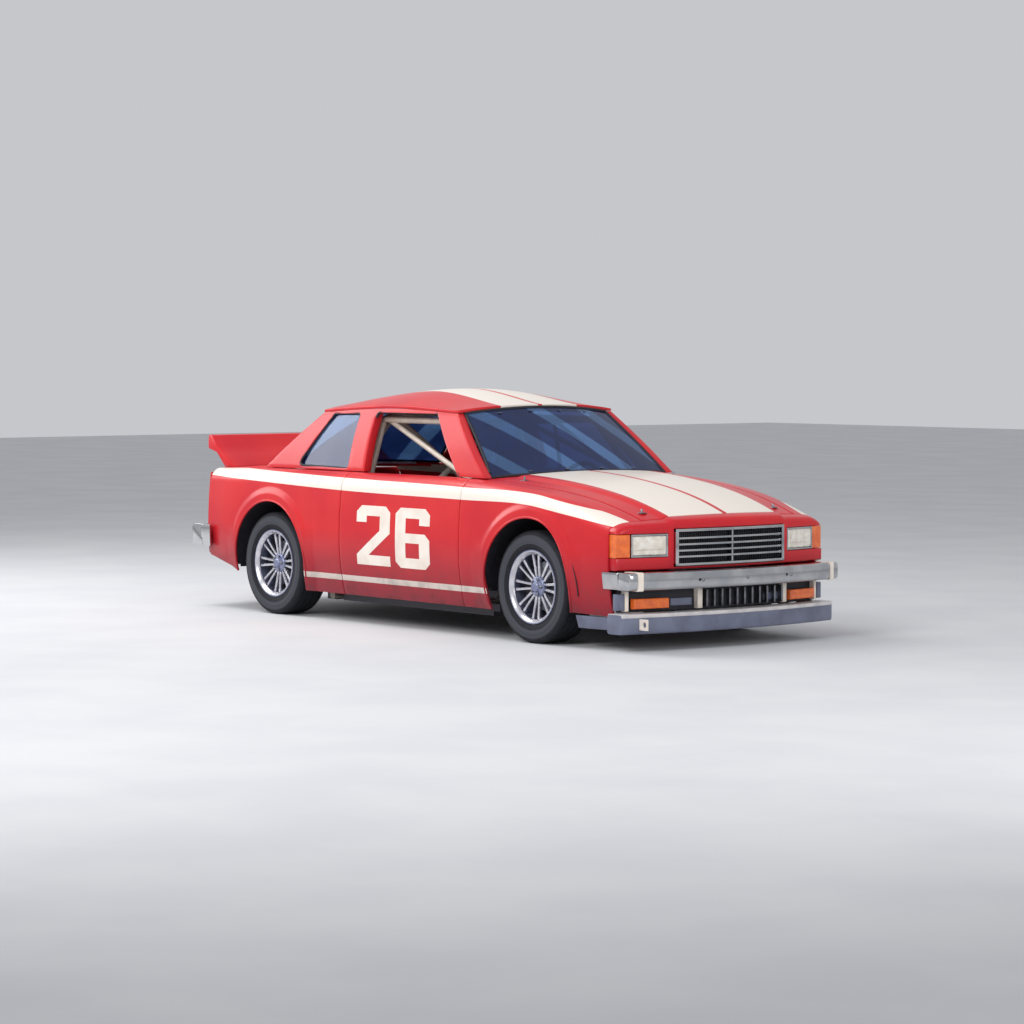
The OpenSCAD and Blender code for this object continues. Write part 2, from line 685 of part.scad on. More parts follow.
module roll_cage() {
    color("wheat") union() {
        tube_run(concat(hoop, [for (i = [len(hoop) - 1 : -1 : 0]) [hoop[i].x, -hoop[i].y, hoop[i].z]]),
            cage_r);
        both_sides() {
            tube_run(concat(front_leg, [[hoop_x, 560, 1335]]), cage_r);
            tube_run([[hoop_x, 480, 1366], [-1330, 470, 640], [-1352, 470, 600], [-1352, 470, 569]], cage_r);
            tube_run([[hoop_x, 540, 1345], [620, 670, 950]], cage_r * 0.8);
            for (foot_y = [25, 600]) tube_run([[330, 215, 1332], [650, foot_y, 915]], cage_r * 0.6);
            for (z = door_bar_z) {
                f = (z - 400) / 320;
                tube_run([[hoop_x, lerp(640, 668, f), z], [lerp(775, 745, f), 655, z]], cage_r * 0.9);
            }
        }
        tube_run([[330, 560, 1332], [330, -560, 1332]], cage_r);
        tube_run([[650, 680, 915], [650, -680, 915]], cage_r * 0.9);
        tube_run([[hoop_x, 672, 880], [hoop_x, -672, 880]], cage_r);
        tube_run([[hoop_x, 480, 1366], [hoop_x, -660, 500]], cage_r * 0.9);
        tube_run([[hoop_x, -480, 1366], [hoop_x, 660, 500]], cage_r * 0.9);
    }
}

seat_y = 385;

module seat() {
    color("dimgray") union() {
        hull() {
            translate([-280, seat_y - 195, 238]) cube([470, 390, 40]);
            translate([-270, seat_y - 190, 320]) cube([450, 380, 30]);
        }
        hull() {
            translate([-330, seat_y - 195, 300]) cube([90, 390, 60]);
            translate([-440, seat_y - 160, 1060]) cube([60, 320, 60]);
        }
        for (s = [-1, 1]) {
            hull() {
                translate([-330, seat_y + s * 198 - 12, 300]) cube([500, 24, 30]);
                translate([-320, seat_y + s * 204 - 12, 440]) cube([380, 24, 20]);
                translate([-390, seat_y + s * 198 - 12, 800]) cube([180, 24, 60]);
            }
        }
    }
}

column_foot = [790, seat_y, 700];
column_head = [455, seat_y, 850];

module dashboard() {
    color("dimgray") difference() {
        union() {
            block([700, -560, 700], [760, 560, 860]);
            hull() {
                block([690, -600, 850], [800, 600, 872]);
                block([700, -600, 930], [820, 600, 950]);
            }
            rod(column_foot, column_head, 30);
        }
        rod(column_head - (column_foot - column_head) * 0.2, lerp(column_head, column_foot, 0.45), 15);
    }
}

module steering_wheel() {
    tilt = atan2(column_foot.x - column_head.x, column_foot.z - column_head.z);
    color("black") translate(column_head) rotate([0, tilt, 0]) {
        translate([0, 0, -90]) cylinder(r = 14.95, h = 200, $fn = 48);
        translate([0, 0, -102]) cylinder(r = 42, h = 16, $fn = 48);
        translate([0, 0, -98]) rotate_extrude($fn = 64) translate([172, 0]) circle(r = 14, $fn = 24);
        for (a = [0, 120, 240]) rotate([0, 0, a]) translate([30, -15, -100]) cube([136, 30, 6]);
    }
}

// ---- Wheels --------------------------------------------------------------------------------------

rim_r = 222;
spokes = 8;

// Wheel with its axis on +Z, pointing outward, and its middle plane at the origin
module rim() {
    half = tyre_width / 2 - 10;
    union() {
        rotate_extrude($fn = 96) polygon([[rim_r - 8, -half], [rim_r + 6, -half], [rim_r + 6, -half + 6],
            [rim_r, -half + 10], [rim_r, half - 10], [rim_r + 6, half - 6], [rim_r + 6, half],
            [rim_r - 10, half], [rim_r - 16, half - 30], [rim_r - 16, -half + 40]]);
        difference() {
            translate([0, 0, 40]) cylinder(r = 92, h = 34, $fn = 64);
            translate([0, 0, 20]) cylinder(r = 35, h = 38, $fn = 64);
        }
        for (i = [0 : spokes - 1]) rotate([0, 0, i * 360 / spokes])
            translate([80, -15, 44]) cube([rim_r - 90, 30, 26]);
        translate([0, 0, -22]) difference() {
            cylinder(r = 152, h = 22, $fn = 72);
            translate([0, 0, -5]) cylinder(r = 62, h = 40, $fn = 48);
        }
        difference() {
            translate([0, 0, -22]) cylinder(r = 66, h = 64, $fn = 48);
            translate([0, 0, -30]) cylinder(r = 35, h = 90, $fn = 64);
        }
    }
}

module tyre() {
    half = tyre_width / 2;
    rotate_extrude($fn = 96) polygon(concat(
        [[rim_r + 0.4, -half + 20.8], [rim_r + 6.4, -half + 16.8]],
        [[rim_r + 50, -half], [tyre_radius - 40, -half + 2], [tyre_radius - 12, -half + 12],
            [tyre_radius, -half + 34], [tyre_radius, half - 34], [tyre_radius - 12, half - 12],
            [tyre_radius - 40, half - 2], [rim_r + 50, half]],
        [[rim_r + 6.4, half - 16.8], [rim_r + 0.4, half - 20.8]]));
}

module at_wheel(x, side) {
    translate([x, side * wheel_mid, tyre_radius]) rotate([-90 * side, 0, 0]) children();
}

module knuckle() {
    color("dimgray") union() {
        translate([front_axle_x, kingpin_y, tyre_radius - 134]) cylinder(r = 20, h = 268, $fn = 40);
        translate([front_axle_x, kingpin_y - 22, tyre_radius]) rotate([-90, 0, 0])
            cylinder(r = 46, h = 36, $fn = 48);
        translate([front_axle_x, kingpin_y, tyre_radius]) rotate([-90, 0, 0])
            cylinder(r = 34.95, h = 96, $fn = 48);
        block([front_axle_x - 130, kingpin_y - 20, tyre_radius - 30], [front_axle_x, kingpin_y, tyre_radius]);
    }
}

chassis_frame();
floor_pan();
engine_block();
driveline();
rear_axle();
front_suspension();
rear_suspension();
exhaust();
fuel_cell();
radiator();
wheel_tubs();
quarter_panels();
fenders();
roof();
pillars();
scuttle_panels();
nose_panel();
grille();
headlights();
signal_lamps();
front_bumper();
lower_grille();
front_valance();
tail_panel();
tail_lights();
rear_bumper();
windows();
roll_cage();
seat();
dashboard();
door_left();
door_right();
hood();
trunk_lid();
spoiler();
knuckle();  // knuckle_left
mirror([0, 1, 0]) knuckle();  // knuckle_right
steering_wheel();
color("lightgray") at_wheel(front_axle_x, 1) rim();  // front_left_rim
color("black") at_wheel(front_axle_x, 1) tyre();  // front_left_tyre
color("lightgray") at_wheel(front_axle_x, -1) rim();  // front_right_rim
color("black") at_wheel(front_axle_x, -1) tyre();  // front_right_tyre
color("lightgray") at_wheel(rear_axle_x, 1) rim();  // rear_left_rim
color("black") at_wheel(rear_axle_x, 1) tyre();  // rear_left_tyre
color("lightgray") at_wheel(rear_axle_x, -1) rim();  // rear_right_rim
color("black") at_wheel(rear_axle_x, -1) tyre();  // rear_right_tyre
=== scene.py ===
"""Stock car: the visual model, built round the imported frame.

Body lines are given in millimetres, as in the part's source, and turned to metres when a mesh is made.
"""
import math
import bmesh
import bpy
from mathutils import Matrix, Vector


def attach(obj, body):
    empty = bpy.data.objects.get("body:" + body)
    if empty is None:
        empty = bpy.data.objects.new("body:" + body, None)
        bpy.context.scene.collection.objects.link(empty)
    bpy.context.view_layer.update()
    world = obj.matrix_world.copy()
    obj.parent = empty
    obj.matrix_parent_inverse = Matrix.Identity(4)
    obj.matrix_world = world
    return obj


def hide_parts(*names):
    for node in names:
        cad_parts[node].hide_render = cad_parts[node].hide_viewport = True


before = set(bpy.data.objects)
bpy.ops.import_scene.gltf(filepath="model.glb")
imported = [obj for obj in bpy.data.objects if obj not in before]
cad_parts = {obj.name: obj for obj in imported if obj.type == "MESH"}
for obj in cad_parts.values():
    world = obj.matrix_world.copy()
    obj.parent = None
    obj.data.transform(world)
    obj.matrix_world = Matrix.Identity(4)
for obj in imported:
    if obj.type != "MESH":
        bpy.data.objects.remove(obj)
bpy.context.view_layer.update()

MM = 0.001
ON_AXIS = 0.0001  # ring radius in metres for parts that already stand at their own radius

# ---- Driving sizes, in millimetres ---------------------------------------------------------------

FRONT_AXLE = 1440
REAR_AXLE = FRONT_AXLE - 2794
TYRE_R = 347
ARCH_R = 425
WHEEL_MID = 760
SILL = 185
WAIST = 560
END_BOW = 100
PANEL = 12
GAP = 6
DOOR_FRONT, DOOR_REAR = 757, -525
DOOR_HINGE_Y = 920
RAIL_HALF = 645
ROOF_TOP = 1535
CAB_REAR = -1590
LID_FRONT = -1668
HOOD_REAR = 945
HEADER = 2236
NOSE, TAIL = 2300, -2300
SCREEN_FOOT, SCREEN_TOP = 866, 404
REAR_TOP = -1065
SEAT_Y = 385
FLOOR_Z = 212

# ---- Body lines: [x, value] pairs ----------------------------------------------------------------

HALF_WIDTH = [(-2300, 850), (-2000, 885), (-1354, 906), (-400, 912), (760, 912), (1440, 904),
              (2000, 880), (2300, 850)]
SHOULDER_Z = [(-2300, 868), (-1600, 882), (-450, 882), (760, 872), (1440, 840), (1880, 772),
              (2300, 684)]
EDGE_Z = [(-2300, 968), (-1600, 985), (-450, 990), (760, 986), (1100, 966), (1440, 932),
          (1700, 896), (1900, 860), (2100, 812), (2300, 752)]
EDGE_Y = [(-2300, 735), (-1600, 772), (-450, 787), (760, 787), (1440, 765), (2000, 725),
          (2300, 690)]
CROWN = [(-2300, 14), (-1600, 24), (860, 34), (1440, 40), (2000, 30), (2300, 14)]
HOOD_SEAM = [(700, 712), (945, 702), (2300, 620)]
HOOD_CREASE = [(945, 560), (2300, 440)]
LID_SEAM = [(-2300, 700), (-1600, 722)]
RAIL_Z = [(-1080, 1390), (-800, 1410), (-250, 1430), (404, 1406)]
ROOF_CROWN = [(-1080, 58), (-650, ROOF_TOP - 1440), (-200, ROOF_TOP - 1430), (450, 36)]
# Middle and half width of the painted belt stripe along the side
BELT_Z = [(-2300, 957), (-2060, 952), (-475, 912), (757, 897), (1440, 882), (1690, 846),
          (1880, 817), (2100, 778), (2300, 744)]
BELT_HALF = [(-2300, 33), (-475, 41), (757, 39), (1440, 33), (2300, 24)]
HOOD_STRIPE = [(860, 500), (2300, 428)]
ROOF_STRIPE = [(-1080, 262), (450, 318)]


def lerp(a, b, t):
    return a + (b - a) * t


def clamp(v):
    return max(0.0, min(1.0, v))


def smooth(t):
    c = clamp(t)
    return c * c * (3 - 2 * c)


def spread(a, b, n):
    return [lerp(a, b, i / n) for i in range(n + 1)]


def curve(x, keys):
    """Smooth line through the pairs, level beyond its ends."""
    def rise(i):
        return (keys[i + 1][1] - keys[i][1]) / (keys[i + 1][0] - keys[i][0])

    def slope(i):
        if i in (0, len(keys) - 1):
            return rise(min(i, len(keys) - 2))
        return (rise(i - 1) + rise(i)) / 2

    i = 0
    while i < len(keys) - 2 and x >= keys[i + 1][0]:
        i += 1
    h = keys[i + 1][0] - keys[i][0]
    t = clamp((x - keys[i][0]) / h)
    return ((2 * t**3 - 3 * t**2 + 1) * keys[i][1] + (t**3 - 2 * t**2 + t) * h * slope(i)
            + (3 * t**2 - 2 * t**3) * keys[i + 1][1] + (t**3 - t**2) * h * slope(i + 1))


def side_y(x, z):
    """Half width of the body at a station and a height, with the flares round both arches."""
    flare = max(14 * (1 - smooth((math.hypot(x - axle, z - TYRE_R) - ARCH_R - 45) / 55))
                for axle in (FRONT_AXLE, REAR_AXLE))
    tuck = 48 * ((WAIST - z) / 370) ** 2 if z < WAIST else 24 * ((z - WAIST) / 350) ** 2
    return curve(x, HALF_WIDTH) - tuck + flare


def hood_lift(x, y):
    if x < HOOD_REAR - 1:
        return 0
    return 14 * (1 - smooth((abs(y) - curve(x, HOOD_CREASE)) / 40))


def top_z(x, y):
    return curve(x, EDGE_Z) + curve(x, CROWN) * (1 - (y / curve(x, EDGE_Y)) ** 2) + hood_lift(x, y)


def bow(p):
    """Nose and tail bend back towards the corners, seen from above."""
    k = (p[1] / 860) ** 2 * END_BOW
    return (p[0] - k * smooth((p[0] - 1500) / 750) + k * smooth((-p[0] - 1700) / 550), p[1], p[2])


def side_column(foot, x_top, inset, seam_y=None):
    """One upright line of a side panel, over the shoulder and in to the seam if there is one."""
    rows, turn = 26, 8
    zs, ze, ye = curve(x_top, SHOULDER_Z), curve(x_top, EDGE_Z), curve(x_top, EDGE_Y)
    ys = side_y(x_top, zs)
    points = []
    for i in range(rows + 1):
        x, z = lerp(foot[0], x_top, i / rows), lerp(foot[1], zs, i / rows)
        points.append((x, side_y(x, z) - inset, z))
    for i in range(1, turn + 1):
        a = math.radians(90 * i / turn)
        points.append((x_top, ye + (ys - ye) * math.cos(a) - inset * math.cos(a),
                       zs + (ze - zs) * math.sin(a) - inset * math.sin(a)))
    if seam_y is not None:
        for y in spread(ye, seam_y, 3)[1:]:
            points.append((x_top, y, top_z(x_top, y) - inset))
    return [bow(p) for p in points]


def arch_feet(axle, rear_angle, front_angle, n):
    return [(axle + ARCH_R * math.cos(math.radians(a)), TYRE_R + ARCH_R * math.sin(math.radians(a)))
            for a in spread(rear_angle, front_angle, n)]


def leg_angle(z):
    return math.degrees(math.asin((z - TYRE_R) / ARCH_R))


# ---- Paint layout ----------------------------------------------------------------------------------

def side_stripes(x, y, z):
    """How far a point of the side lies outside the nearest stripe; negative inside one."""
    if z < curve(x, SHOULDER_Z) and abs(y) < side_y(x, z) - 9:
        return 50.0  # the back of the panel has no stripes
    belt = max(abs(z - curve(x, BELT_Z)) - curve(x, BELT_HALF), curve(x, EDGE_Y) + 4 - abs(y))
    sill = max(abs(z - 299) - 19, x - 1040, -960 - x)
    return min(belt, sill)


def hood_stripes(x, y, z):
    """Two wide stripes with a thin red line between them, up to the creases of the bulge."""
    return max(17 - abs(y), abs(y) - curve(x, HOOD_STRIPE))


def roof_stripes(x, y, z):
    return max(17 - abs(y), abs(y) - curve(x, ROOF_STRIPE))


# ---- Meshes ----------------------------------------------------------------------------------------

def shell(outer, inner):
    """Points and faces of the closed solid between two grids of points."""
    m, n = len(outer), len(outer[0])
    k = m * n
    points = [p for row in outer for p in row] + [p for row in inner for p in row]
    faces = []
    for i in range(m - 1):
        for j in range(n - 1):
            c = i * n + j
            faces.append((c, c + n, c + n + 1, c + 1))
            faces.append((c + k, c + 1 + k, c + n + 1 + k, c + n + k))
    rim = ([i * n for i in range(m - 1)] + [(m - 1) * n + j for j in range(n - 1)]
           + [i * n + n - 1 for i in range(m - 1, 0, -1)] + list(range(n - 1, 0, -1)))
    for p, q in zip(rim, rim[1:] + rim[:1]):
        faces.append((q, p, p + k, q + k))
    return points, faces


def loft(rings, closed=False):
    """Points and faces of a solid through rings of points; closed joins the last ring to the first."""
    n, m = len(rings[0]), len(rings)
    points = [p for ring in rings for p in ring]
    faces = []
    for i in range(m if closed else m - 1):
        for j in range(n):
            a, b, nxt = i * n + j, i * n + (j + 1) % n, ((i + 1) % m) * n
            faces.append((a, nxt + j, nxt + (j + 1) % n, b))
    if not closed:
        faces.append(tuple(range(n)))
        faces.append(tuple(range((m - 1) * n + n - 1, (m - 1) * n - 1, -1)))
    return points, faces


def rounded(path, bend=60, steps=5):
    """The path with its corners turned to arcs."""
    path = [Vector(p) for p in path]
    out = [path[0]]
    for a, b, c in zip(path, path[1:], path[2:]):
        r = min(bend, (a - b).length * 0.45, (c - b).length * 0.45)
        p, q = b + (a - b).normalized() * r, b + (c - b).normalized() * r
        out += [p.lerp(b, t).lerp(b.lerp(q, t), t) for t in spread(0, 1, steps)]
    return out + [path[-1]]


def tube(path, r, sides=18, bend=60):
    """Points and faces of a round tube along a path, without twist."""
    path = rounded(path, bend)
    rings, side = [], None
    for i, p in enumerate(path):
        ahead = (path[min(i + 1, len(path) - 1)] - path[max(i - 1, 0)]).normalized()
        if side is None:
            side = ahead.orthogonal()
        side = (side - ahead * side.dot(ahead)).normalized()
        up = ahead.cross(side)
        rings.append([p + r * (math.cos(a) * side + math.sin(a) * up)
                      for a in (math.tau * k / sides for k in range(sides))])
    return loft(rings)


def revolve(profile, axle, side, segments=144):
    """Points and faces of a closed (axial, radius) outline turned about a wheel's axis."""
    rings = []
    for k in range(segments):
        a = math.tau * k / segments
        rings.append([(axle + r * math.cos(a), side * (WHEEL_MID + u), TYRE_R + r * math.sin(a))
                      for u, r in profile])
    return loft(rings, closed=True)


def block(low, high):
    (a, b, c), (d, e, f) = low, high
    return loft([[(a, b, c), (a, e, c), (a, e, f), (a, b, f)],
                 [(d, b, c), (d, e, c), (d, e, f), (d, b, f)]])


def mirrored(solid):
    points, faces = solid
    return [(x, -y, z) for x, y, z in points], faces


def joined(*solids):
    points, faces = [], []
    for p, f in solids:
        faces += [tuple(i + len(points) for i in face) for face in f]
        points += list(p)
    return points, faces


def mesh_of(name, solid):
    points, faces = solid
    mesh = bpy.data.meshes.new(name)
    mesh.from_pydata([Vector(p) * MM for p in points], [], faces)
    bm = bmesh.new()
    bm.from_mesh(mesh)
    bmesh.ops.remove_doubles(bm, verts=bm.verts, dist=1e-6)
    bmesh.ops.recalc_face_normals(bm, faces=bm.faces)
    bm.to_mesh(mesh)
    bm.free()
    return mesh


def settle(obj, edge=0.0, sharp=38):
    """Rounds the hard edges by a bevel of the given width in millimetres, and smooths the rest."""
    if edge:
        bevel = obj.modifiers.new("edges", "BEVEL")
        bevel.width = edge * MM
        bevel.segments = 2
        bevel.limit_method = "ANGLE"
        bevel.angle_limit = math.radians(sharp)
        bevel.use_clamp_overlap = True
        apply_modifiers(obj)
    obj.data.polygons.foreach_set("use_smooth", [True] * len(obj.data.polygons))
    obj.data.set_sharp_from_angle(angle=math.radians(sharp))


def apply_modifiers(obj):
    seen = obj.evaluated_get(bpy.context.evaluated_depsgraph_get())
    mesh = bpy.data.meshes.new_from_object(seen)
    obj.modifiers.clear()
    obj.data = mesh


def piece(name, solid, finish, body="root", stands_for=(), edge=0.0, sharp=38, stripes=None):
    """A finished piece of the car: its mesh, material, body and the CAD nodes it stands for."""
    obj = bpy.data.objects.new(name, mesh_of(name, solid))
    bpy.context.scene.collection.objects.link(obj)
    settle(obj, edge, sharp)
    if stripes:
        band = obj.data.attributes.new("stripe", "FLOAT", "POINT")
        band.data.foreach_set("value", [stripes(*(v.co / MM)) * MM for v in obj.data.vertices])
    return finished(obj, finish, body, stands_for)


def finished(obj, finish, body, stands_for=()):
    obj.data.materials.clear()
    obj.data.materials.append(finish)
    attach(obj, body)
    if stands_for:
        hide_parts(*stands_for)
    return obj


# ---- Geometry Nodes for what repeats ---------------------------------------------------------------

def new_tree(name, sockets):
    tree = bpy.data.node_groups.new(name, "GeometryNodeTree")
    for label, kind in sockets:
        tree.interface.new_socket(label, in_out="INPUT", socket_type=kind)
    tree.interface.new_socket("Geometry", in_out="OUTPUT", socket_type="NodeSocketGeometry")
    return tree


def add(tree, kind, sockets=None, **settings):
    """Adds a node with its settings; sockets gives its inputs, as values or as outputs to link."""
    made = tree.nodes.new(kind)
    for key, value in settings.items():
        setattr(made, key, value)
    for key, value in (sockets or {}).items():
        if isinstance(value, bpy.types.NodeSocket):
            tree.links.new(value, made.inputs[key])
        else:
            made.inputs[key].default_value = value
    return made


def end_tree(tree, group, points, rotation=None):
    """Puts the part on the points, turns and places the whole, and gives it its finish."""
    part = add(tree, "GeometryNodeObjectInfo", {"Object": group.outputs["Part"]})
    put = {"Points": points, "Instance": part.outputs["Geometry"]}
    if rotation:
        put["Rotation"] = rotation
    on = add(tree, "GeometryNodeInstanceOnPoints", put)
    real = add(tree, "GeometryNodeRealizeInstances", {"Geometry": on.outputs["Instances"]})
    placed = add(tree, "GeometryNodeTransform", {
        "Geometry": real.outputs["Geometry"], "Translation": group.outputs["Place"],
        "Rotation": group.outputs["Turn"]})
    painted = add(tree, "GeometryNodeSetMaterial", {
        "Geometry": placed.outputs["Geometry"], "Material": group.outputs["Finish"]})
    out = add(tree, "NodeGroupOutput")
    tree.links.new(painted.outputs["Geometry"], out.inputs["Geometry"])
    return tree


SHARED = [("Part", "NodeSocketObject"), ("Finish", "NodeSocketMaterial"),
          ("Place", "NodeSocketVector"), ("Turn", "NodeSocketRotation"), ("Count", "NodeSocketInt")]


def ring_tree():
    """Parts evenly round a circle in the XY plane, each turned to face outwards."""
    tree = new_tree("ring of parts", SHARED + [("Radius", "NodeSocketFloat")])
    group = add(tree, "NodeGroupInput")
    circle = add(tree, "GeometryNodeMeshCircle", {
        "Vertices": group.outputs["Count"], "Radius": group.outputs["Radius"]})
    index = add(tree, "GeometryNodeInputIndex")
    share = add(tree, "ShaderNodeMath", {0: index.outputs[0], 1: group.outputs["Count"]},
                operation="DIVIDE")
    angle = add(tree, "ShaderNodeMath", {0: share.outputs[0], 1: math.tau}, operation="MULTIPLY")
    turn = add(tree, "ShaderNodeCombineXYZ", {"Z": angle.outputs[0]})
    return end_tree(tree, group, circle.outputs["Mesh"], turn.outputs[0])


def row_tree():
    """Parts in a straight row, a fixed step apart."""
    tree = new_tree("row of parts", SHARED + [("Step", "NodeSocketVector")])
    group = add(tree, "NodeGroupInput")
    line = add(tree, "GeometryNodeMeshLine", {
        "Count": group.outputs["Count"], "Offset": group.outputs["Step"]})
    return end_tree(tree, group, line.outputs["Mesh"])


RING, ROW = ring_tree(), row_tree()


def repeat(name, tree, solid, finish, body="root", edge=0.0, **inputs):
    """Runs one of the trees on a part and keeps the result as a plain mesh."""
    source = bpy.data.objects.new(name + "_one", mesh_of(name + "_one", solid))
    bpy.context.scene.collection.objects.link(source)
    settle(source, edge)
    holder = bpy.data.objects.new(name + "_made", bpy.data.meshes.new(name + "_made"))
    bpy.context.scene.collection.objects.link(holder)
    made = holder.modifiers.new("repeat", "NODES")
    made.node_group = tree
    values = {"Part": source, "Finish": finish, "Place": (0, 0, 0), "Turn": (0, 0, 0), **inputs}
    for item in tree.interface.items_tree:
        if item.in_out == "INPUT" and item.name in values:
            made[item.identifier] = values[item.name]
    seen = holder.evaluated_get(bpy.context.evaluated_depsgraph_get())
    mesh = bpy.data.meshes.new_from_object(seen)
    mesh.name = name
    for spare in (holder, source):
        bpy.data.objects.remove(spare)
    obj = bpy.data.objects.new(name, mesh)
    bpy.context.scene.collection.objects.link(obj)
    return finished(obj, finish, body)


# ---- Finishes --------------------------------------------------------------------------------------

def colour(code):
    """sRGB hex to linear, with full alpha."""
    parts = [int(code[i:i + 2], 16) / 255 for i in (1, 3, 5)]
    return tuple(c / 12.92 if c <= 0.04045 else ((c + 0.055) / 1.055) ** 2.4 for c in parts) + (1.0,)


def finish(name, rough, metallic=0.0, **sockets):
    """A Principled material; sockets are set on the shader itself."""
    made = bpy.data.materials.new(name)
    made.use_nodes = True
    tree = made.node_tree
    shader = tree.nodes["Principled BSDF"]
    shader.inputs["Roughness"].default_value = rough
    shader.inputs["Metallic"].default_value = metallic
    for key, value in sockets.items():
        shader.inputs[key.replace("_", " ")].default_value = value
    return made, tree, shader


def noise(tree, size_mm, detail=3.0, stretch=(1, 1, 1)):
    """Noise in Object space whose blotches are about size_mm across."""
    place = add(tree, "ShaderNodeTexCoord")
    scaled = add(tree, "ShaderNodeMapping", {"Vector": place.outputs["Object"], "Scale": stretch})
    return add(tree, "ShaderNodeTexNoise", {
        "Vector": scaled.outputs[0], "Scale": 1000 / size_mm, "Detail": detail}).outputs["Fac"]


def ramp(tree, value, low, high, to_low=0.0, to_high=1.0):
    return add(tree, "ShaderNodeMapRange", {
        "Value": value, "From Min": low, "From Max": high, "To Min": to_low, "To Max": to_high},
        clamp=True).outputs[0]


def blend(tree, factor, one, other):
    """Mixes two colours, each a hex code or an output."""
    sides = {}
    for key, value in ((6, one), (7, other)):
        sides[key] = colour(value) if isinstance(value, str) else value
    return add(tree, "ShaderNodeMix", {0: factor, **sides}, data_type="RGBA").outputs[2]


def height(tree):
    place = add(tree, "ShaderNodeTexCoord")
    return add(tree, "ShaderNodeSeparateXYZ", {0: place.outputs["Object"]}).outputs["Z"]


def bump(tree, shader, value, depth_mm, strength=1.0):
    made = add(tree, "ShaderNodeBump", {"Height": value, "Distance": depth_mm * MM, "Strength": strength})
    tree.links.new(made.outputs[0], shader.inputs["Normal"])


def surface(name, base, other, rough, size_mm, metallic=0.0, grain_mm=None, grain_depth=0.1,
            rough_spread=0.08, stretch=(1, 1, 1), **sockets):
    """A two-tone surface: slow changes of tone and gloss, and a fine grain in relief."""
    made, tree, shader = finish(name, rough, metallic, **sockets)
    blotch = noise(tree, size_mm, 4.0)
    tree.links.new(blend(tree, ramp(tree, blotch, 0.38, 0.62), base, other), shader.inputs["Base Color"])
    tree.links.new(ramp(tree, blotch, 0.3, 0.7, rough - rough_spread, rough + rough_spread),
                   shader.inputs["Roughness"])
    if grain_mm:
        bump(tree, shader, noise(tree, grain_mm, 2.0, stretch), grain_depth)
    return made


def racing_enamel():
    """Sprayed two-pack enamel under clear lacquer: deep red and cream stripes, both with painted shade that
    darkens them towards the bottom, and duller near the road.
    """
    made, tree, shader = finish("sprayed_red_enamel", 0.36, Coat_Weight=0.12, Coat_Roughness=0.1,
                                Specular_IOR_Level=0.26)
    tone = noise(tree, 420, 2.0)
    red = blend(tree, ramp(tree, tone, 0.35, 0.65), "#c41f2a", "#d02a2d")
    # Painted shade: from 0.62 m down to 0.22 m the red and the stripe cream are mixed darker, standing in for
    # the shade on the lower sides.
    low = ramp(tree, height(tree), 0.62, 0.22)
    red = blend(tree, ramp(tree, low, 0.0, 1.0, 0.0, 0.78), red, "#75162a")
    cream = blend(tree, ramp(tree, low, 0.0, 1.0, 0.0, 0.5), "#e9dfd4", "#a58f8c")
    band = add(tree, "ShaderNodeAttribute", attribute_name="stripe", attribute_type="GEOMETRY")
    inside = add(tree, "ShaderNodeMath", {0: band.outputs["Fac"], 1: 0.0}, operation="LESS_THAN")
    painted = blend(tree, inside.outputs[0], red, cream)
    # Road film: blotches a hand wide that fade out above the sill
    film = add(tree, "ShaderNodeMath", {
        0: ramp(tree, noise(tree, 90, 6.0), 0.45, 0.7), 1: ramp(tree, height(tree), 0.5, 0.18)},
        operation="MULTIPLY")
    amount = ramp(tree, film.outputs[0], 0.0, 1.0, 0.0, 0.45)
    tree.links.new(blend(tree, amount, painted, "#4b3a38"), shader.inputs["Base Color"])
    tree.links.new(ramp(tree, film.outputs[0], 0.0, 1.0, 0.3, 0.62), shader.inputs["Roughness"])
    # Orange peel, drawn 7 mm across so that it shows
    bump(tree, shader, noise(tree, 7, 1.0), 0.05, 0.35)
    return made


def tinted_glass():
    """Laminated safety glass with a deep navy tint; painted reflections, wide paler bands, slant across each
    pane.
    """
    made, tree, shader = finish("tinted_safety_glass", 0.03, Transmission_Weight=0.74, IOR=1.45,
                                Specular_IOR_Level=0.25)
    dust = noise(tree, 260, 5.0)
    tint = blend(tree, ramp(tree, dust, 0.4, 0.7), "#2a4280", "#314c8a")
    # Painted reflection: light-blue glints laid as diagonal bands by position on the pane, from a sine wave
    # across the glass.
    axes = add(tree, "ShaderNodeSeparateXYZ", {"Vector": add(tree, "ShaderNodeTexCoord").outputs["Object"]})
    slant = add(tree, "ShaderNodeMath", {0: axes.outputs["X"], 1: -0.5, 2: axes.outputs["Y"]},
                operation="MULTIPLY_ADD")
    slant = add(tree, "ShaderNodeMath", {0: axes.outputs["Z"], 1: 0.6, 2: slant.outputs[0]},
                operation="MULTIPLY_ADD")
    turns = add(tree, "ShaderNodeMath", {0: slant.outputs[0], 1: 14.5}, operation="MULTIPLY")
    painted_glint = add(tree, "ShaderNodeMath", {0: turns.outputs[0]}, operation="SINE")
    tree.links.new(blend(tree, ramp(tree, painted_glint.outputs[0], 0.5, 0.62), tint, "#648fc6"),
                   shader.inputs["Base Color"])
    tree.links.new(ramp(tree, dust, 0.45, 0.75, 0.02, 0.09), shader.inputs["Roughness"])
    return made


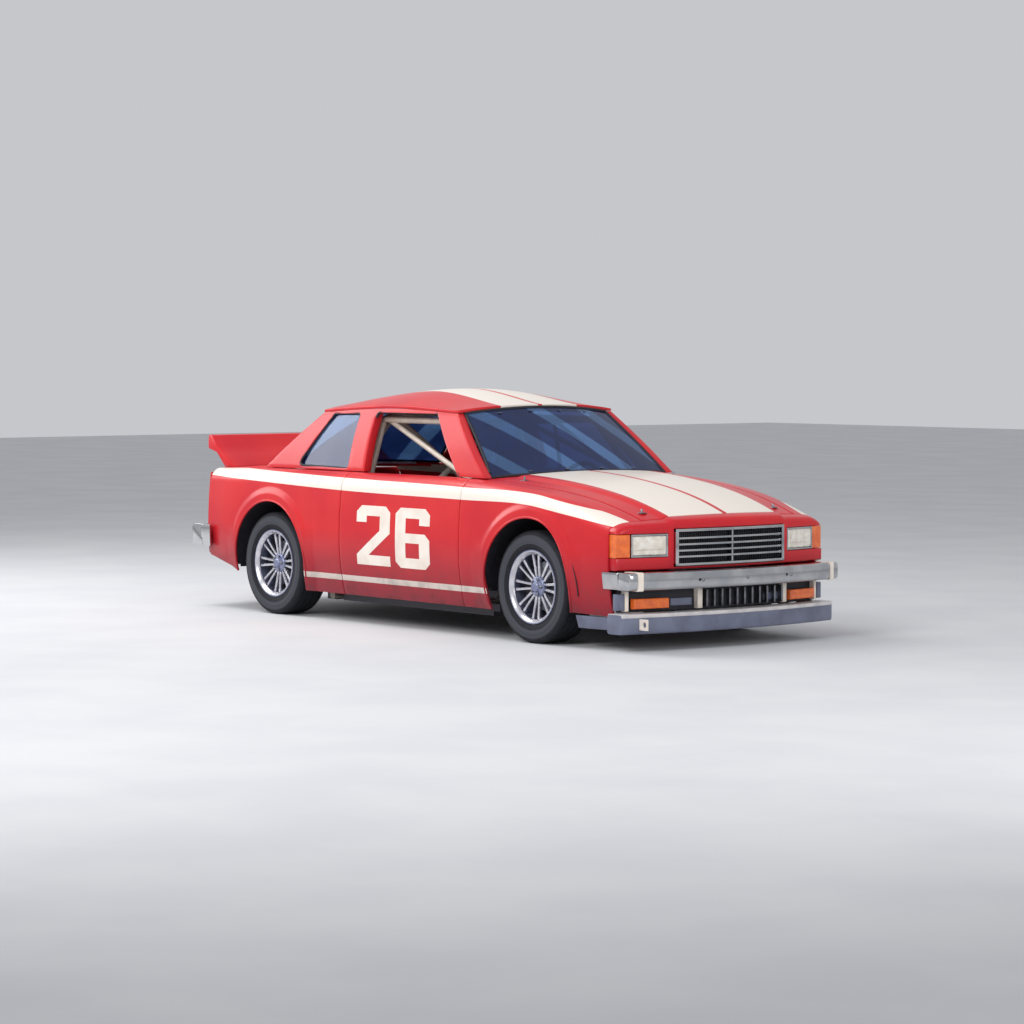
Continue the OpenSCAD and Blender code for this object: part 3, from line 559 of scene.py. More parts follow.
def tyre_rubber():
    """Soft racing rubber: dark, matt tread and a paler scuffed band on the side wall."""
    made, tree, shader = finish("racing_tyre_rubber", 0.78, Specular_IOR_Level=0.35)
    reach = add(tree, "ShaderNodeAttribute", attribute_name="reach", attribute_type="GEOMETRY").outputs["Fac"]
    inner = ramp(tree, reach, 0.262, 0.268)
    outer = ramp(tree, reach, 0.322, 0.314)
    band = add(tree, "ShaderNodeMath", {0: inner, 1: outer}, operation="MULTIPLY")
    rubber = blend(tree, ramp(tree, noise(tree, 24, 5.0), 0.35, 0.65), "#15151c", "#1e1f27")
    tree.links.new(blend(tree, ramp(tree, band.outputs[0], 0, 1, 0, 0.85), rubber, "#44464d"),
                   shader.inputs["Base Color"])
    bump(tree, shader, noise(tree, 5, 3.0), 0.25, 0.6)
    return made


def woven_cloth(name, base, other, thread_mm):
    """Woven nylon: crossed ribs of thread, drawn a little coarser than real so that they show."""
    made, tree, shader = finish(name, 0.85, Sheen_Weight=0.35, Sheen_Roughness=0.5)
    place = add(tree, "ShaderNodeTexCoord")
    ribs = []
    for axis in "XYZ":
        ribs.append(add(tree, "ShaderNodeTexWave", {
            "Vector": place.outputs["Object"], "Scale": 1000 / thread_mm / 20 * math.pi,
            "Distortion": 0.4}, wave_type="BANDS", bands_direction=axis).outputs["Fac"])
    cross = add(tree, "ShaderNodeMath", {0: ribs[0], 1: ribs[1]}, operation="MULTIPLY")
    cross = add(tree, "ShaderNodeMath", {0: cross.outputs[0], 1: ribs[2]}, operation="ADD")
    worn = ramp(tree, noise(tree, 70, 4.0), 0.4, 0.7)
    tree.links.new(blend(tree, worn, base, other), shader.inputs["Base Color"])
    bump(tree, shader, cross.outputs[0], 0.5, 0.7)
    return made


def brushed(name, base, other, rough, size_mm):
    """Bare metal with fine brush lines round or along the part."""
    return surface(name, base, other, rough, size_mm, metallic=1.0, grain_mm=3, grain_depth=0.05,
                   stretch=(1, 8, 1))


enamel = racing_enamel()
cream_vinyl = surface("cream_vinyl_film", "#efe5da", "#e4d6ca", 0.38, 120, grain_mm=9, grain_depth=0.03)
cream_enamel = surface("cream_cage_enamel", "#cdc2b4", "#bdb1a3", 0.4, 90, grain_mm=6, grain_depth=0.05,
                       Coat_Weight=0.2)
chrome = surface("plated_chrome", "#c9c8c9", "#aeb0b4", 0.13, 160, metallic=1.0, rough_spread=0.05,
                 grain_mm=60, grain_depth=0.2)
slate_enamel = surface("slate_valance_enamel", "#6b7086", "#5c6075", 0.42, 140, grain_mm=5,
                       grain_depth=0.06, Coat_Weight=0.3)
# Pale grey for the strip on the valance's top edge: a painted highlight.
painted_highlight_enamel = surface("pale_painted_highlight_enamel", "#d2cecd", "#bfbbbc", 0.42, 90, grain_mm=6, grain_depth=0.05)
bright_alloy = brushed("polished_rim_aluminium", "#e2e1e6", "#c6c5cd", 0.3, 60)
blue_alloy = surface("satin_blue_grey_alloy", "#7f86a6", "#9a9fb8", 0.34, 50, metallic=0.75, grain_mm=2.5,
                     grain_depth=0.08)
steel = brushed("machined_brake_steel", "#8d8f94", "#74757a", 0.36, 40)
rubber = tyre_rubber()
seal_rubber = surface("moulded_seal_rubber", "#15141c", "#1e1d26", 0.62, 30, grain_mm=4, grain_depth=0.08)
black_plastic = surface("moulded_black_plastic", "#191822", "#24232d", 0.5, 60, grain_mm=2.5,
                        grain_depth=0.1)
frame_black = surface("brushed_on_chassis_black", "#2b2a33", "#3a3940", 0.55, 70, grain_mm=9,
                      grain_depth=0.25)
floor_grey = surface("zinc_grey_floor_paint", "#6c6d75", "#595a61", 0.58, 110, grain_mm=8, grain_depth=0.2)
cast_iron = surface("sand_cast_iron", "#4a4846", "#5b5753", 0.68, 30, metallic=0.35, grain_mm=3,
                    grain_depth=0.5)
exhaust_steel = surface("heat_marked_steel", "#8e8579", "#6a5f5c", 0.42, 75, metallic=0.85, grain_mm=12,
                        grain_depth=0.1)
lamp_glass = surface("pressed_lamp_glass", "#f6f1e8", "#e6ddd0", 0.12, 40, grain_mm=14, grain_depth=1.2,
                     stretch=(1, 1, 0.02), Transmission_Weight=0.12, IOR=1.5)
amber_glass = surface("amber_lens_plastic", "#f0742a", "#db6124", 0.22, 40, grain_mm=8, grain_depth=0.6,
                      Coat_Weight=0.5)
red_glass = surface("red_lens_plastic", "#a3131c", "#7e0f1c", 0.22, 40, grain_mm=8, grain_depth=0.6,
                    Coat_Weight=0.5)
glass = tinted_glass()
seat_cloth = woven_cloth("black_seat_nylon", "#1e1d26", "#2c2b34", 3.0)
belt_webbing = woven_cloth("red_belt_webbing", "#a81f2b", "#8c1a28", 2.4)
spring_paint = surface("yellow_spring_enamel", "#d8a23a", "#c08c2e", 0.4, 40, grain_mm=5, grain_depth=0.05)
gauge_face = surface("printed_gauge_dial", "#e5e0d6", "#d5cfc4", 0.45, 20, grain_mm=6, grain_depth=0.02)

# ---- Cutting and sections --------------------------------------------------------------------------

def cut(name, solid, cutters):
    """The solid with the cutters taken out, as points and faces in millimetres."""
    obj = bpy.data.objects.new(name, mesh_of(name, solid))
    bpy.context.scene.collection.objects.link(obj)
    tools = []
    for cutter in cutters:
        tool = bpy.data.objects.new(name + "_tool", mesh_of(name + "_tool", cutter))
        bpy.context.scene.collection.objects.link(tool)
        difference = obj.modifiers.new("cut", "BOOLEAN")
        difference.object, difference.solver = tool, "EXACT"
        tools.append(tool)
    apply_modifiers(obj)
    mesh = obj.data
    points = [tuple(v.co / MM) for v in mesh.vertices]
    faces = [tuple(p.vertices) for p in mesh.polygons]
    for spare in tools + [obj]:
        bpy.data.objects.remove(spare)
    return points, faces


def rounded_section(x_low, x_high, z_low, z_high, r):
    """Outline of a bar in side view, its corners turned to arcs."""
    corners = [(x_low + r, z_low + r, 180), (x_low + r, z_high - r, 90), (x_high - r, z_high - r, 0),
               (x_high - r, z_low + r, -90)]
    return [(cx + r * math.cos(math.radians(a0 + 90 - t)), cz + r * math.sin(math.radians(a0 + 90 - t)))
            for cx, cz, a0 in corners for t in spread(0, 90, 3)]


def bar(y_low, y_high, x_low, x_high, z_low, z_high, r, parts=40):
    """Bar across the nose that follows its bow."""
    outline = rounded_section(x_low, x_high, z_low, z_high, r)
    return loft([[bow((x, y, z)) for x, z in outline] for y in spread(y_low, y_high, parts)])


def handed(s, near, far):
    """The y limits, low first, of a part between two distances from the middle, on side s."""
    return sorted((s * near, s * far))


def side_strip(x_low, x_high, z_low, z_high, proud, thick):
    """Strip along the left side, standing proud of it."""
    def grid(out):
        return [[bow((x, curve(x, HALF_WIDTH) - 48 * ((WAIST - z) / 370) ** 2 + out, z))
                 for z in spread(z_low, z_high, 6)] for x in spread(x_low, x_high, 16)]
    return shell(grid(proud), grid(proud - thick))


def backwards(solid):
    """The same solid at the other end of the car."""
    points, faces = solid
    return [(-x, y, z) for x, y, z in points], faces


def both(solid):
    return joined(solid, mirrored(solid))


def prism(outline, y_low, y_high):
    """Outline in side view carried across the car."""
    return loft([[(x, y_low, z) for x, z in outline], [(x, y_high, z) for x, z in outline]])


def eased(outline, r=34, steps=6):
    """Closed outline with rounded corners."""
    out = []
    for i, b in enumerate(outline):
        a, b, c = Vector(outline[i - 1]), Vector(b), Vector(outline[(i + 1) % len(outline)])
        e, f = (a - b), (c - b)
        reach = min(r / math.tan(e.angle(f) / 2), e.length * 0.48, f.length * 0.48)
        p, q = b + e.normalized() * reach, b + f.normalized() * reach
        out += [tuple(p.lerp(b, t).lerp(b.lerp(q, t), t)) for t in spread(0, 1, steps)]
    return out


# ---- Body panels -----------------------------------------------------------------------------------

def door_arc(y):
    reach = DOOR_FRONT - DOOR_REAR
    return reach - math.sqrt(reach**2 - (DOOR_HINGE_Y - y) ** 2)


def side_panel(feet, tops, seam, bend_last=False):
    """Side skin from a row of feet to a row of stations on the shoulder."""
    def column(i, inset):
        line = side_column(feet[i], tops[i], inset, seam(tops[i]))
        if bend_last and i == len(feet) - 1:
            line = [(x + door_arc(y), y, z) for x, y, z in line]
        return line
    return shell([column(i, 0) for i in range(len(feet))], [column(i, PANEL) for i in range(len(feet))])


def finer(values, n):
    """Each step of a list cut into n, for numbers or pairs."""
    out = []
    for a, b in zip(values, values[1:]):
        for t in spread(0, 1, n)[:-1]:
            out.append(lerp(a, b, t) if isinstance(a, (int, float)) else
                       (lerp(a[0], b[0], t), lerp(a[1], b[1], t)))
    return out + [values[-1]]


ARCH_STEPS = 70
QUARTER_FRONT, FENDER_REAR = DOOR_REAR - GAP, DOOR_FRONT + GAP


def quarter_panels():
    rear, front = 180 - leg_angle(275), leg_angle(SILL)
    feet = (finer([(-2270, 366), (-2100, 336), (-1900, 305)], 8)
            + arch_feet(REAR_AXLE, rear, front, ARCH_STEPS)
            + finer([(-880, SILL), (-720, SILL), (QUARTER_FRONT, SILL)], 8))
    tops = (finer([-2270, -2130, -2000], 8) + spread(-1880, -890, ARCH_STEPS)
            + finer([-800, -670, QUARTER_FRONT], 8))
    panel = side_panel(feet, tops, lambda x: curve(x, LID_SEAM) + 5 if x < CAB_REAR - 20 else 752, True)
    piece("quarter_panel_skins", both(panel), enamel, stands_for=["quarter_panels"],
          edge=2, stripes=side_stripes)


def fenders():
    rear, front = 180 - leg_angle(SILL), leg_angle(215)
    feet = (finer([(FENDER_REAR, SILL), (900, SILL)], 8) + arch_feet(FRONT_AXLE, rear, front, ARCH_STEPS)
            + finer([(1960, 212), (2090, 208), (HEADER - 1, 205)], 8))
    tops = (finer([FENDER_REAR, 860], 8) + spread(955, 1900, ARCH_STEPS)
            + finer([2000, 2110, HEADER - 1], 8))
    panel = side_panel(feet, tops, lambda x: curve(x, HOOD_SEAM) + 5)
    piece("fender_skins", both(panel), enamel, stands_for=["fenders"], edge=2,
          stripes=side_stripes)


def arch_lips():
    """Rolled steel lips round the four wheel arches, and the black gap behind them."""
    lips = []
    for axle, low in ((FRONT_AXLE, 215), (REAR_AXLE, 275)):
        path = []
        for a in spread(180 - leg_angle(low), leg_angle(low), 60):
            x = axle + (ARCH_R + 3) * math.cos(math.radians(a))
            z = TYRE_R + (ARCH_R + 3) * math.sin(math.radians(a))
            path.append(bow((x, side_y(x, z) - 2, z)))
        lips.append(tube(path, 7, sides=10, bend=1))
    piece("wheel_arch_lips", both(joined(*lips)), enamel)


def arch_seals():
    """Rubber curtain over each arch, closing the slit between the tub and the panel outside it."""
    curtains = []
    for axle, r, near in ((FRONT_AXLE, 440, 828), (REAR_AXLE, 436, 840)):
        rings = []
        for a in (math.radians(t) for t in spread(-4, 184, 60)):
            c, s = math.cos(a), math.sin(a)
            x, z = axle + r * c, TYRE_R + r * s
            far = max(side_y(x, z) - PANEL + 3, near + 2)
            over = (x + 5 * c, z + 5 * s)
            rings.append([(x, near, z), (x, far, z), (over[0], far, over[1]), (over[0], near, over[1])])
        curtains.append(loft(rings))
    piece("wheel_arch_seals", both(joined(*curtains)), seal_rubber)


def tail_corners():
    """Body-coloured fillets that join the tail panel to the rear edges of the quarter panels."""
    rings = []
    for z in spread(376, 938, 24):
        out = side_y(-2270, z) - PANEL + 1
        rings.append([bow((x, y, z)) for x, y in ((-2280, 802), (-2280, out), (TAIL + 4, out),
                                                  (TAIL + 4, 802))])
    piece("tail_corner_fillets", both(loft(rings)), enamel)


def door(side, name):
    xs = spread(DOOR_REAR, DOOR_FRONT, 64)

    def outer(x):
        return side_column((x, SILL), x, 0)

    def inner(x):
        line = []
        for px, _, z in outer(x):
            over = clamp((z - 880) / 106)
            line.append((px, 772 - 34 * over, z - 12 * over))
        return line

    def hung(x, line):
        return line if x > DOOR_REAR else [(px + door_arc(y), y, z) for px, y, z in line]

    skin = shell([hung(x, outer(x)) for x in xs], [hung(x, inner(x)) for x in xs])
    piece(name + "_skin", skin if side > 0 else mirrored(skin), enamel, body=name, stands_for=[name],
          edge=2, stripes=side_stripes)
    # Inner trim sheet with its quarter-turn fasteners
    sheet = block((DOOR_REAR + 90, 768, 290), (DOOR_FRONT - 60, 771.6, 840))
    piece(name + "_inner_sheet", sheet if side > 0 else mirrored(sheet), floor_grey, body=name, edge=3)
    button = revolve_z([(0.1, 0), (9, 0), (8, 3), (0.1, 4)], 16)
    repeat(name + "_fasteners", ROW, button, steel, body=name, Count=6, Step=(0.2, 0, 0),
           Place=((DOOR_REAR + 120) * MM, side * 0.768, 0.815), Turn=(side * math.pi / 2, 0, 0))


def top_grid(xs, half_at, thick, vs):
    """Skin patch of the body's top between stations, out to a half width."""
    def grid(drop):
        return [[bow((x, v * half_at(x), top_z(x, v * half_at(x)) - drop)) for v in vs] for x in xs]
    return shell(grid(0), grid(thick))


def hood():
    skin = top_grid(spread(HOOD_REAR + GAP, HEADER - GAP, 60), lambda x: curve(x, HOOD_SEAM), 24,
                    spread(0.99, -0.99, 80))
    piece("hood_skin", skin, enamel, body="hood", stands_for=["hood"], edge=3,
          stripes=hood_stripes)
    plate = revolve_z([(0.1, 0), (30, 0), (29, 2.5), (12, 3), (0.1, 3)], 32)
    pin = revolve_z([(0.1, 0), (7, 0), (7, 20), (4, 25), (0.1, 26)], 20)
    for label, x, y in (("front", 2120, 540), ("rear", 1060, 620)):
        z = top_z(x, y)
        pair = joined(*[place(s, bow((x, k * y, z - 1))) for s in (plate, pin) for k in (-1, 1)])
        piece("hood_pins_" + label, pair, steel, body="hood")


def trunk():
    skin = top_grid(spread(-2270, LID_FRONT, 30), lambda x: curve(x, LID_SEAM), 26,
                    spread(0.995, -0.995, 60))
    piece("trunk_lid_skin", skin, enamel, body="trunk_lid", stands_for=["trunk_lid"],
          edge=3)


def spoiler():
    """Leaning blade with a thick rolled lip that bends back less than the lid below it."""
    def lip(x, y, z):
        return (x + 0.35 * (bow((x, y, z))[0] - x), y, z)

    def base(x, y):
        return bow((x, y, top_z(x, y) + 1.5))

    rings = []
    for y in spread(-698, 698, 40):
        rings.append([base(-2150, y), base(-2268, y), lip(-2330, y, 1072), lip(-2430, y, 1098),
                      lip(-2436, y, 1106), lip(-2436, y, 1176), lip(-2428, y, 1190), lip(-2414, y, 1196),
                      lip(-2384, y, 1190), lip(-2330, y, 1118), lip(-2250, y, 1060)])
    piece("spoiler_blade", loft(rings), enamel, body="trunk_lid", stands_for=["spoiler"],
          edge=3, sharp=30)


def roof_point(f, v, drop):
    x = lerp(REAR_TOP - 30 * (1 - v * v), SCREEN_TOP + 45 * (1 - v * v), f)
    return (x, RAIL_HALF * v, curve(x, RAIL_Z) + curve(x, ROOF_CROWN) * (1 - abs(v) ** 2.4) - drop)


def roof():
    def grid(drop):
        return [[roof_point(f, v, drop) for v in spread(1, -1, 60)] for f in spread(0, 1, 50)]
    piece("roof_skin", shell(grid(0), grid(18)), enamel, stands_for=["roof"], edge=3,
          stripes=roof_stripes)


def cab_point(foot_x, head_x, u, inset):
    x = lerp(foot_x, head_x, u)
    base_z = max(curve(foot_x, EDGE_Z), 985) + 6
    base_y = lerp(768, 784, clamp((foot_x - CAB_REAR) / 690)) if foot_x < -900 else 784
    return (x, lerp(base_y, RAIL_HALF - 1, u) + 14 * math.sin(math.pi * u) - inset,
            lerp(base_z, curve(head_x, RAIL_Z) - 19, u))


CAB_FEET = [CAB_REAR, -1380, -1199, -900, -608, -417, 0, 605, 735, SCREEN_FOOT]
CAB_HEADS = [REAR_TOP, -985, -940, -790, -631, -451, -130, 203, 303, SCREEN_TOP]
DOOR_OPENING = [(-417, 900), (605, 900), (605, 980), (203, 1384), (-451, 1384)]
QUARTER_OPENING = [(-1199, 1016), (-608, 1010), (-631, 1374), (-940, 1368)]


def cab_side():
    feet, heads = finer(CAB_FEET, 5), finer(CAB_HEADS, 5)
    rows = spread(0, 1, 14)
    walls = shell([[cab_point(a, b, u, 0) for u in rows] for a, b in zip(feet, heads)],
                  [[cab_point(a, b, u, 56) for u in rows] for a, b in zip(feet, heads)])
    openings = [prism(eased(o), 300, 1100) for o in (DOOR_OPENING, QUARTER_OPENING)]
    piece("roof_pillars", both(cut("pillars", walls, openings)), enamel, stands_for=["pillars"],
          edge=3, sharp=30)
    # Black rubber round each side opening, set just inside the pillar's face
    seals = []
    for outline in (DOOR_OPENING, QUARTER_OPENING):
        line = [p for p in eased(outline) if p[1] > 985]
        path = []
        for x, z in line + ([line[0]] if outline is QUARTER_OPENING else []):
            path.append((x, cab_y(x, z) - 9, max(z, 1004)))
        seals.append(tube(path, 9, sides=10, bend=1))
    piece("side_window_seals", both(joined(*seals)), seal_rubber)


def cab_y(x, z):
    """Half width of the cab's side at a height."""
    u = clamp((z - 991) / (curve(x, RAIL_Z) - 19 - 991))
    return lerp(784, RAIL_HALF - 1, u) + 14 * math.sin(math.pi * u)


def scuttle():
    front = top_grid(spread(SCREEN_FOOT - 16, HOOD_REAR - 2, 8), lambda x: curve(x, HOOD_SEAM), 14,
                     spread(0.99, -0.99, 60))
    rear = top_grid(spread(LID_FRONT + GAP, CAB_REAR + 30, 8), lambda x: curve(x, LID_SEAM) - 1, 14,
                    spread(0.99, -0.99, 60))
    piece("scuttle_skins", joined(front, rear), enamel, stands_for=["scuttle_panels"],
          edge=2, stripes=hood_stripes)


# ---- Glass ------------------------------------------------------------------------------------------

def windscreen_point(u, v, drop):
    y, k = v * lerp(724, 584, u), 1 - v * v
    foot = SCREEN_FOOT - 6 + k * 64
    return (lerp(SCREEN_FOOT - 6, SCREEN_TOP - 2, u) + k * 64 + 10 * math.sin(math.pi * u) - drop, y,
            lerp(top_z(foot, y) + 2, curve(404, RAIL_Z) - 14 + 36 * k, u))


def rear_window_point(u, v, drop):
    y, k = v * lerp(706, 582, u), 1 - v * v
    foot = CAB_REAR + 6 - k * 56
    return (lerp(CAB_REAR + 6, REAR_TOP + 2, u) - k * 56 - 10 * math.sin(math.pi * u) + drop, y,
            lerp(top_z(foot, y) + 3, curve(REAR_TOP, RAIL_Z) - 16 + 50 * k, u))


def windows():
    us = spread(0, 1, 14)
    panes, seals = [], []
    for point in (windscreen_point, rear_window_point):
        vs = spread(-1, 1, 40)
        panes.append(shell([[point(u, v, 0) for v in vs] for u in us],
                           [[point(u, v, 6) for v in vs] for u in us]))
        edge = ([point(0.012, v, 1) for v in vs] + [point(u, 1, 1) for u in us[1:-1]]
                + [point(0.99, v, 1) for v in reversed(vs)] + [point(u, -1, 1) for u in reversed(us[1:])])
        seals.append(tube(edge, 10, sides=10, bend=1))
    feet, heads = finer([-1230, -1000, -800, -590], 6), finer([-960, -830, -730, -615], 6)
    rows = spread(0.02, 0.97, 10)
    side = shell([[cab_point(a, b, u, 16) for u in rows] for a, b in zip(feet, heads)],
                 [[cab_point(a, b, u, 22) for u in rows] for a, b in zip(feet, heads)])
    hole = cut("frame", prism([(-1500, 900), (-400, 900), (-400, 1500), (-1500, 1500)], 400, 1000),
               [prism(eased(QUARTER_OPENING, 32), 300, 1100)])
    panes.append(both(cut("quarter_pane", side, [hole])))
    piece("window_panes", joined(*panes), glass, stands_for=["windows"])
    piece("screen_seals", joined(*seals), seal_rubber)
    clips = block((-9, -14, -2), (9, 14, 3))
    spots = [windscreen_point(u, v, -3) for u in (0.06, 0.94) for v in (-0.6, -0.2, 0.2, 0.6)]
    piece("windscreen_clips", joined(*[place(clips, p) for p in spots]), steel, edge=1)


# ---- Nose and tail ----------------------------------------------------------------------------------

def header_z(x, y):
    """Height of the header panel's top: the hood, then the fenders' shoulders."""
    ye, zs = curve(x, EDGE_Y), curve(x, SHOULDER_Z)
    out = clamp((abs(y) - ye) / (side_y(x, zs) - ye))
    return top_z(x, y) if abs(y) < ye else zs + (curve(x, EDGE_Z) - zs) * math.sqrt(1 - out * out)


NOSE_HALF, LAMP_IN, LAMP_SPLIT = 843, 486, 746
LAMP_LOW, LAMP_HIGH, NOSE_LOW = 557, 702, 484


def nose():
    def ring(y):
        tip = header_z(NOSE, y)
        front = [(NOSE - 22 * (1 - math.sin(a)), tip - 20 + 20 * math.cos(a)
                  + (header_z(NOSE - 22, y) - tip) * (1 - math.sin(a)))
                 for a in (math.radians(t) for t in spread(0, 90, 5))]
        return [(HEADER, NOSE_LOW), (HEADER, header_z(HEADER, y)), *front, (NOSE, NOSE_LOW + 6),
                (NOSE - 6, NOSE_LOW)]

    ys = spread(-NOSE_HALF, NOSE_HALF, 110)
    panel = loft([[bow((x, y, z)) for x, z in ring(y)] for y in ys])
    openings = [block((2000, -448, 497), (2400, 448, 727))]
    for s in (-1, 1):
        low, high = handed(s, LAMP_IN, 900)
        openings.append(block((2000, low, LAMP_LOW), (2400, high, LAMP_HIGH)))
    piece("nose_skin", cut("nose", panel, openings), enamel, stands_for=["nose_panel"],
          edge=2, stripes=lambda x, y, z: max(hood_stripes(x, y, z), 0.0 if z > 738 else 738 - z))


def grille():
    """Bright frame with slim bars over a black mesh."""
    frame_bars = [bar(-445, 445, 2262, NOSE + 14, 706, 724, 5), bar(-445, 445, 2262, NOSE + 14, 500, 518, 5)]
    frame_bars += [bar(*handed(s, 423, 445), 2262, NOSE + 14, 500, 724, 5, 4)
                   for s in (-1, 1)]
    for z in (555, 592, 629, 666):
        frame_bars.append(bar(-424, 424, 2274, NOSE + 6, z - 6, z + 8, 4))
    frame_bars.append(bar(-6, 6, 2268, NOSE + 2, 510, 712, 3, 2))
    piece("grille_bars", joined(*frame_bars), chrome, stands_for=["grille"])
    piece("grille_backing", bar(-430, 430, 2250, 2262, 512, 712, 3), black_plastic)
    upright = block((-3, -2, 0), (6, 2, 196))
    repeat("grille_mesh_uprights", ROW, upright, black_plastic, Count=57, Step=(0, 0.015, 0),
           Place=(2.262, -0.42, 0.514), edge=0.5)


def headlights():
    lenses, bezels, bowls = [], [], []
    for s in (-1, 1):
        a, b = handed(s, LAMP_IN + 14, LAMP_SPLIT - 12)
        lenses.append(bar(a, b, 2250, NOSE - 8, LAMP_LOW + 14, LAMP_HIGH - 14, 10, 12))
        for low, high in ((LAMP_LOW + 3, LAMP_LOW + 13), (LAMP_HIGH - 13, LAMP_HIGH - 3)):
            a, b = handed(s, LAMP_IN + 3, LAMP_SPLIT - 3)
            bezels.append(bar(a, b, 2240, NOSE - 2, low, high, 3, 12))
        for near, far in ((LAMP_IN + 3, LAMP_IN + 13), (LAMP_SPLIT - 12, LAMP_SPLIT - 3)):
            a, b = handed(s, near, far)
            bezels.append(bar(a, b, 2240, NOSE - 2, LAMP_LOW + 3, LAMP_HIGH - 3, 3, 2))
        a, b = handed(s, LAMP_IN + 40, LAMP_SPLIT - 40)
        bowls.append(bar(a, b, 2256, NOSE - 4, LAMP_LOW + 40, LAMP_HIGH - 40, 14, 12))
    piece("headlight_lenses", joined(*lenses), lamp_glass, stands_for=["headlights"])
    piece("headlight_bezels", joined(*bezels), chrome)
    piece("headlight_reflectors", joined(*bowls), lamp_glass)


def signal_lamps():
    lamps = []
    for s in (-1, 1):
        a, b = handed(s, LAMP_SPLIT + 3, NOSE_HALF - 1)
        lamps.append(bar(a, b, HEADER, NOSE - 6, LAMP_LOW + 3, LAMP_HIGH - 3, 6, 10))
        a, b = handed(s, 500, 740)
        lamps.append(bar(a, b, 2288, 2322, 254, 316, 8, 12))
    piece("amber_lamps", joined(*lamps), amber_glass, stands_for=["signal_lamps"])


def front_bumper():
    main = bar(-854, 854, NOSE + 10, 2440, 372, 478, 22, 60)
    ends = both(side_strip(2205, 2330, 374, 476, 15, 10))
    piece("front_bumper_bar", joined(main, ends), chrome, stands_for=["front_bumper"],
          edge=3)
    # Guards at the bumper's corners in pale cream: real guards, whose pale colour is a painted vertical
    # highlight down the bumper.
    guards = [bar(*handed(s, 768, 800), NOSE + 12, 2446, 369, 481, 8, 4) for s in (-1, 1)]
    piece("front_bumper_straps", joined(*guards), cream_vinyl)
    bolt = revolve_z([(0.1, 0), (11, 0), (11, 4), (7, 7), (0.1, 8)], 6)
    repeat("front_bumper_bolts", ROW, bolt, steel, Count=3, Step=(0, 0.36, 0),
           Place=(2.438, -0.36, 0.425), Turn=(0, math.pi / 2, 0))


def rear_bumper():
    main = bar(-888, 888, NOSE + 10, 2440, 424, 578, 24, 60)
    ends = both(side_strip(2205, 2330, 426, 576, 40, 19))
    piece("rear_bumper_bar", backwards(joined(main, ends)), chrome, stands_for=["rear_bumper"],
          edge=3)


def lower_grille():
    """Black intake under the bumper: backing, slats, two pale uprights and the brake ducts."""
    piece("intake_backing", bar(-799, 799, 2232, 2262, 232, 366, 3), black_plastic,
          stands_for=["lower_grille"])
    slat = block((-6, -7, 0), (26, 7, 104))
    repeat("intake_slats", ROW, slat, steel, Count=11, Step=(0, 0.062, 0), Place=(2.262, -0.19, 0.247),
           edge=2)
    posts = [bar(y - 18, y + 18, 2262, 2296, 240, 362, 5, 3) for y in (-250, 470)]
    posts += [bar(*handed(s, 762, 786), 2262, 2300, 240, 362, 5, 3) for s in (-1, 1)]
    piece("intake_posts", joined(*posts), cream_vinyl)
    ducts = [bar(*handed(s, 296, 452), 2262, 2276, 262, 308, 4, 6) for s in (-1, 1)]
    ducts += [bar(*handed(s, 792, 838), 2262, 2302, 246, 346, 6, 4) for s in (-1, 1)]
    piece("brake_duct_blanks", joined(*ducts), slate_enamel, edge=2)


def valance():
    main = bar(-866, 866, 2250, 2378, 108, 226, 14, 60)
    ends = both(side_strip(1880, 2290, 122, 200, 4, 26))
    piece("valance_panel", joined(main, ends), slate_enamel, stands_for=["front_valance"],
          edge=2)
    # Pale strip along the valance's top edge: a painted highlight where the top of the slate panel catches
    # the light.
    piece("valance_top_strip", bar(-864, 864, 2256, 2382, 206, 229, 4, 60), painted_highlight_enamel)
    # Tow eye in pale cream: a real lug, whose pale colour is a painted vertical highlight carried on down
    # from the bumper guard.
    lug = cut("lug", block((2290, -746, 134), (2372, -734, 200)),
              [loft([[(2345 + 17 * math.cos(a), y, 167 + 17 * math.sin(a))
                      for a in (math.tau * k / 32 for k in range(32))] for y in (-770, -710)])])
    piece("tow_eye_front", lug, cream_vinyl, edge=2)


def tail():
    panel = backwards(bar(-806, 806, 2282, -TAIL, 372, 940, 5, 80))
    openings = []
    for s in (-1, 1):
        low, high = handed(s, 360, 780)
        openings.append(block((-2400, low, 700), (-2100, high, 850)))
    piece("tail_skin", cut("tail", panel, openings), enamel, stands_for=["tail_panel"],
          edge=2)
    lamps, frames = [], []
    for s in (-1, 1):
        for k in range(3):
            a, b = handed(s, 367 + 137 * k, 367 + 137 * k + 131)
            lamps.append(bar(a, b, 2262, -TAIL + 6, 708, 842, 10, 8))
        a, b = handed(s, 363, 777)
        frames += [bar(a, b, 2266, -TAIL + 4, z, z + 7, 2, 14) for z in (702, 841)]
    piece("tail_lamp_lenses", backwards(joined(*lamps)), red_glass, stands_for=["tail_lights"])
    piece("tail_lamp_trims", backwards(joined(*frames)), chrome)


# ---- Race number ------------------------------------------------------------------------------------

TWO = [[(0, .72), (0, .9), (.14, 1), (.86, 1), (1, .9), (1, .55), (.36, .17), (1, .17), (1, 0), (0, 0),
        (0, .17), (.7, .59), (.7, .83), (.3, .83), (.3, .72)]]
SIX = [[(1, .72), (1, .9), (.86, 1), (.14, 1), (0, .9), (0, .1), (.14, 0), (.86, 0), (1, .1), (1, .48),
        (.86, .58), (.3, .58), (.3, .83), (.7, .83), (.7, .72)], [(.3, .17), (.7, .17), (.7, .42), (.3, .42)]]


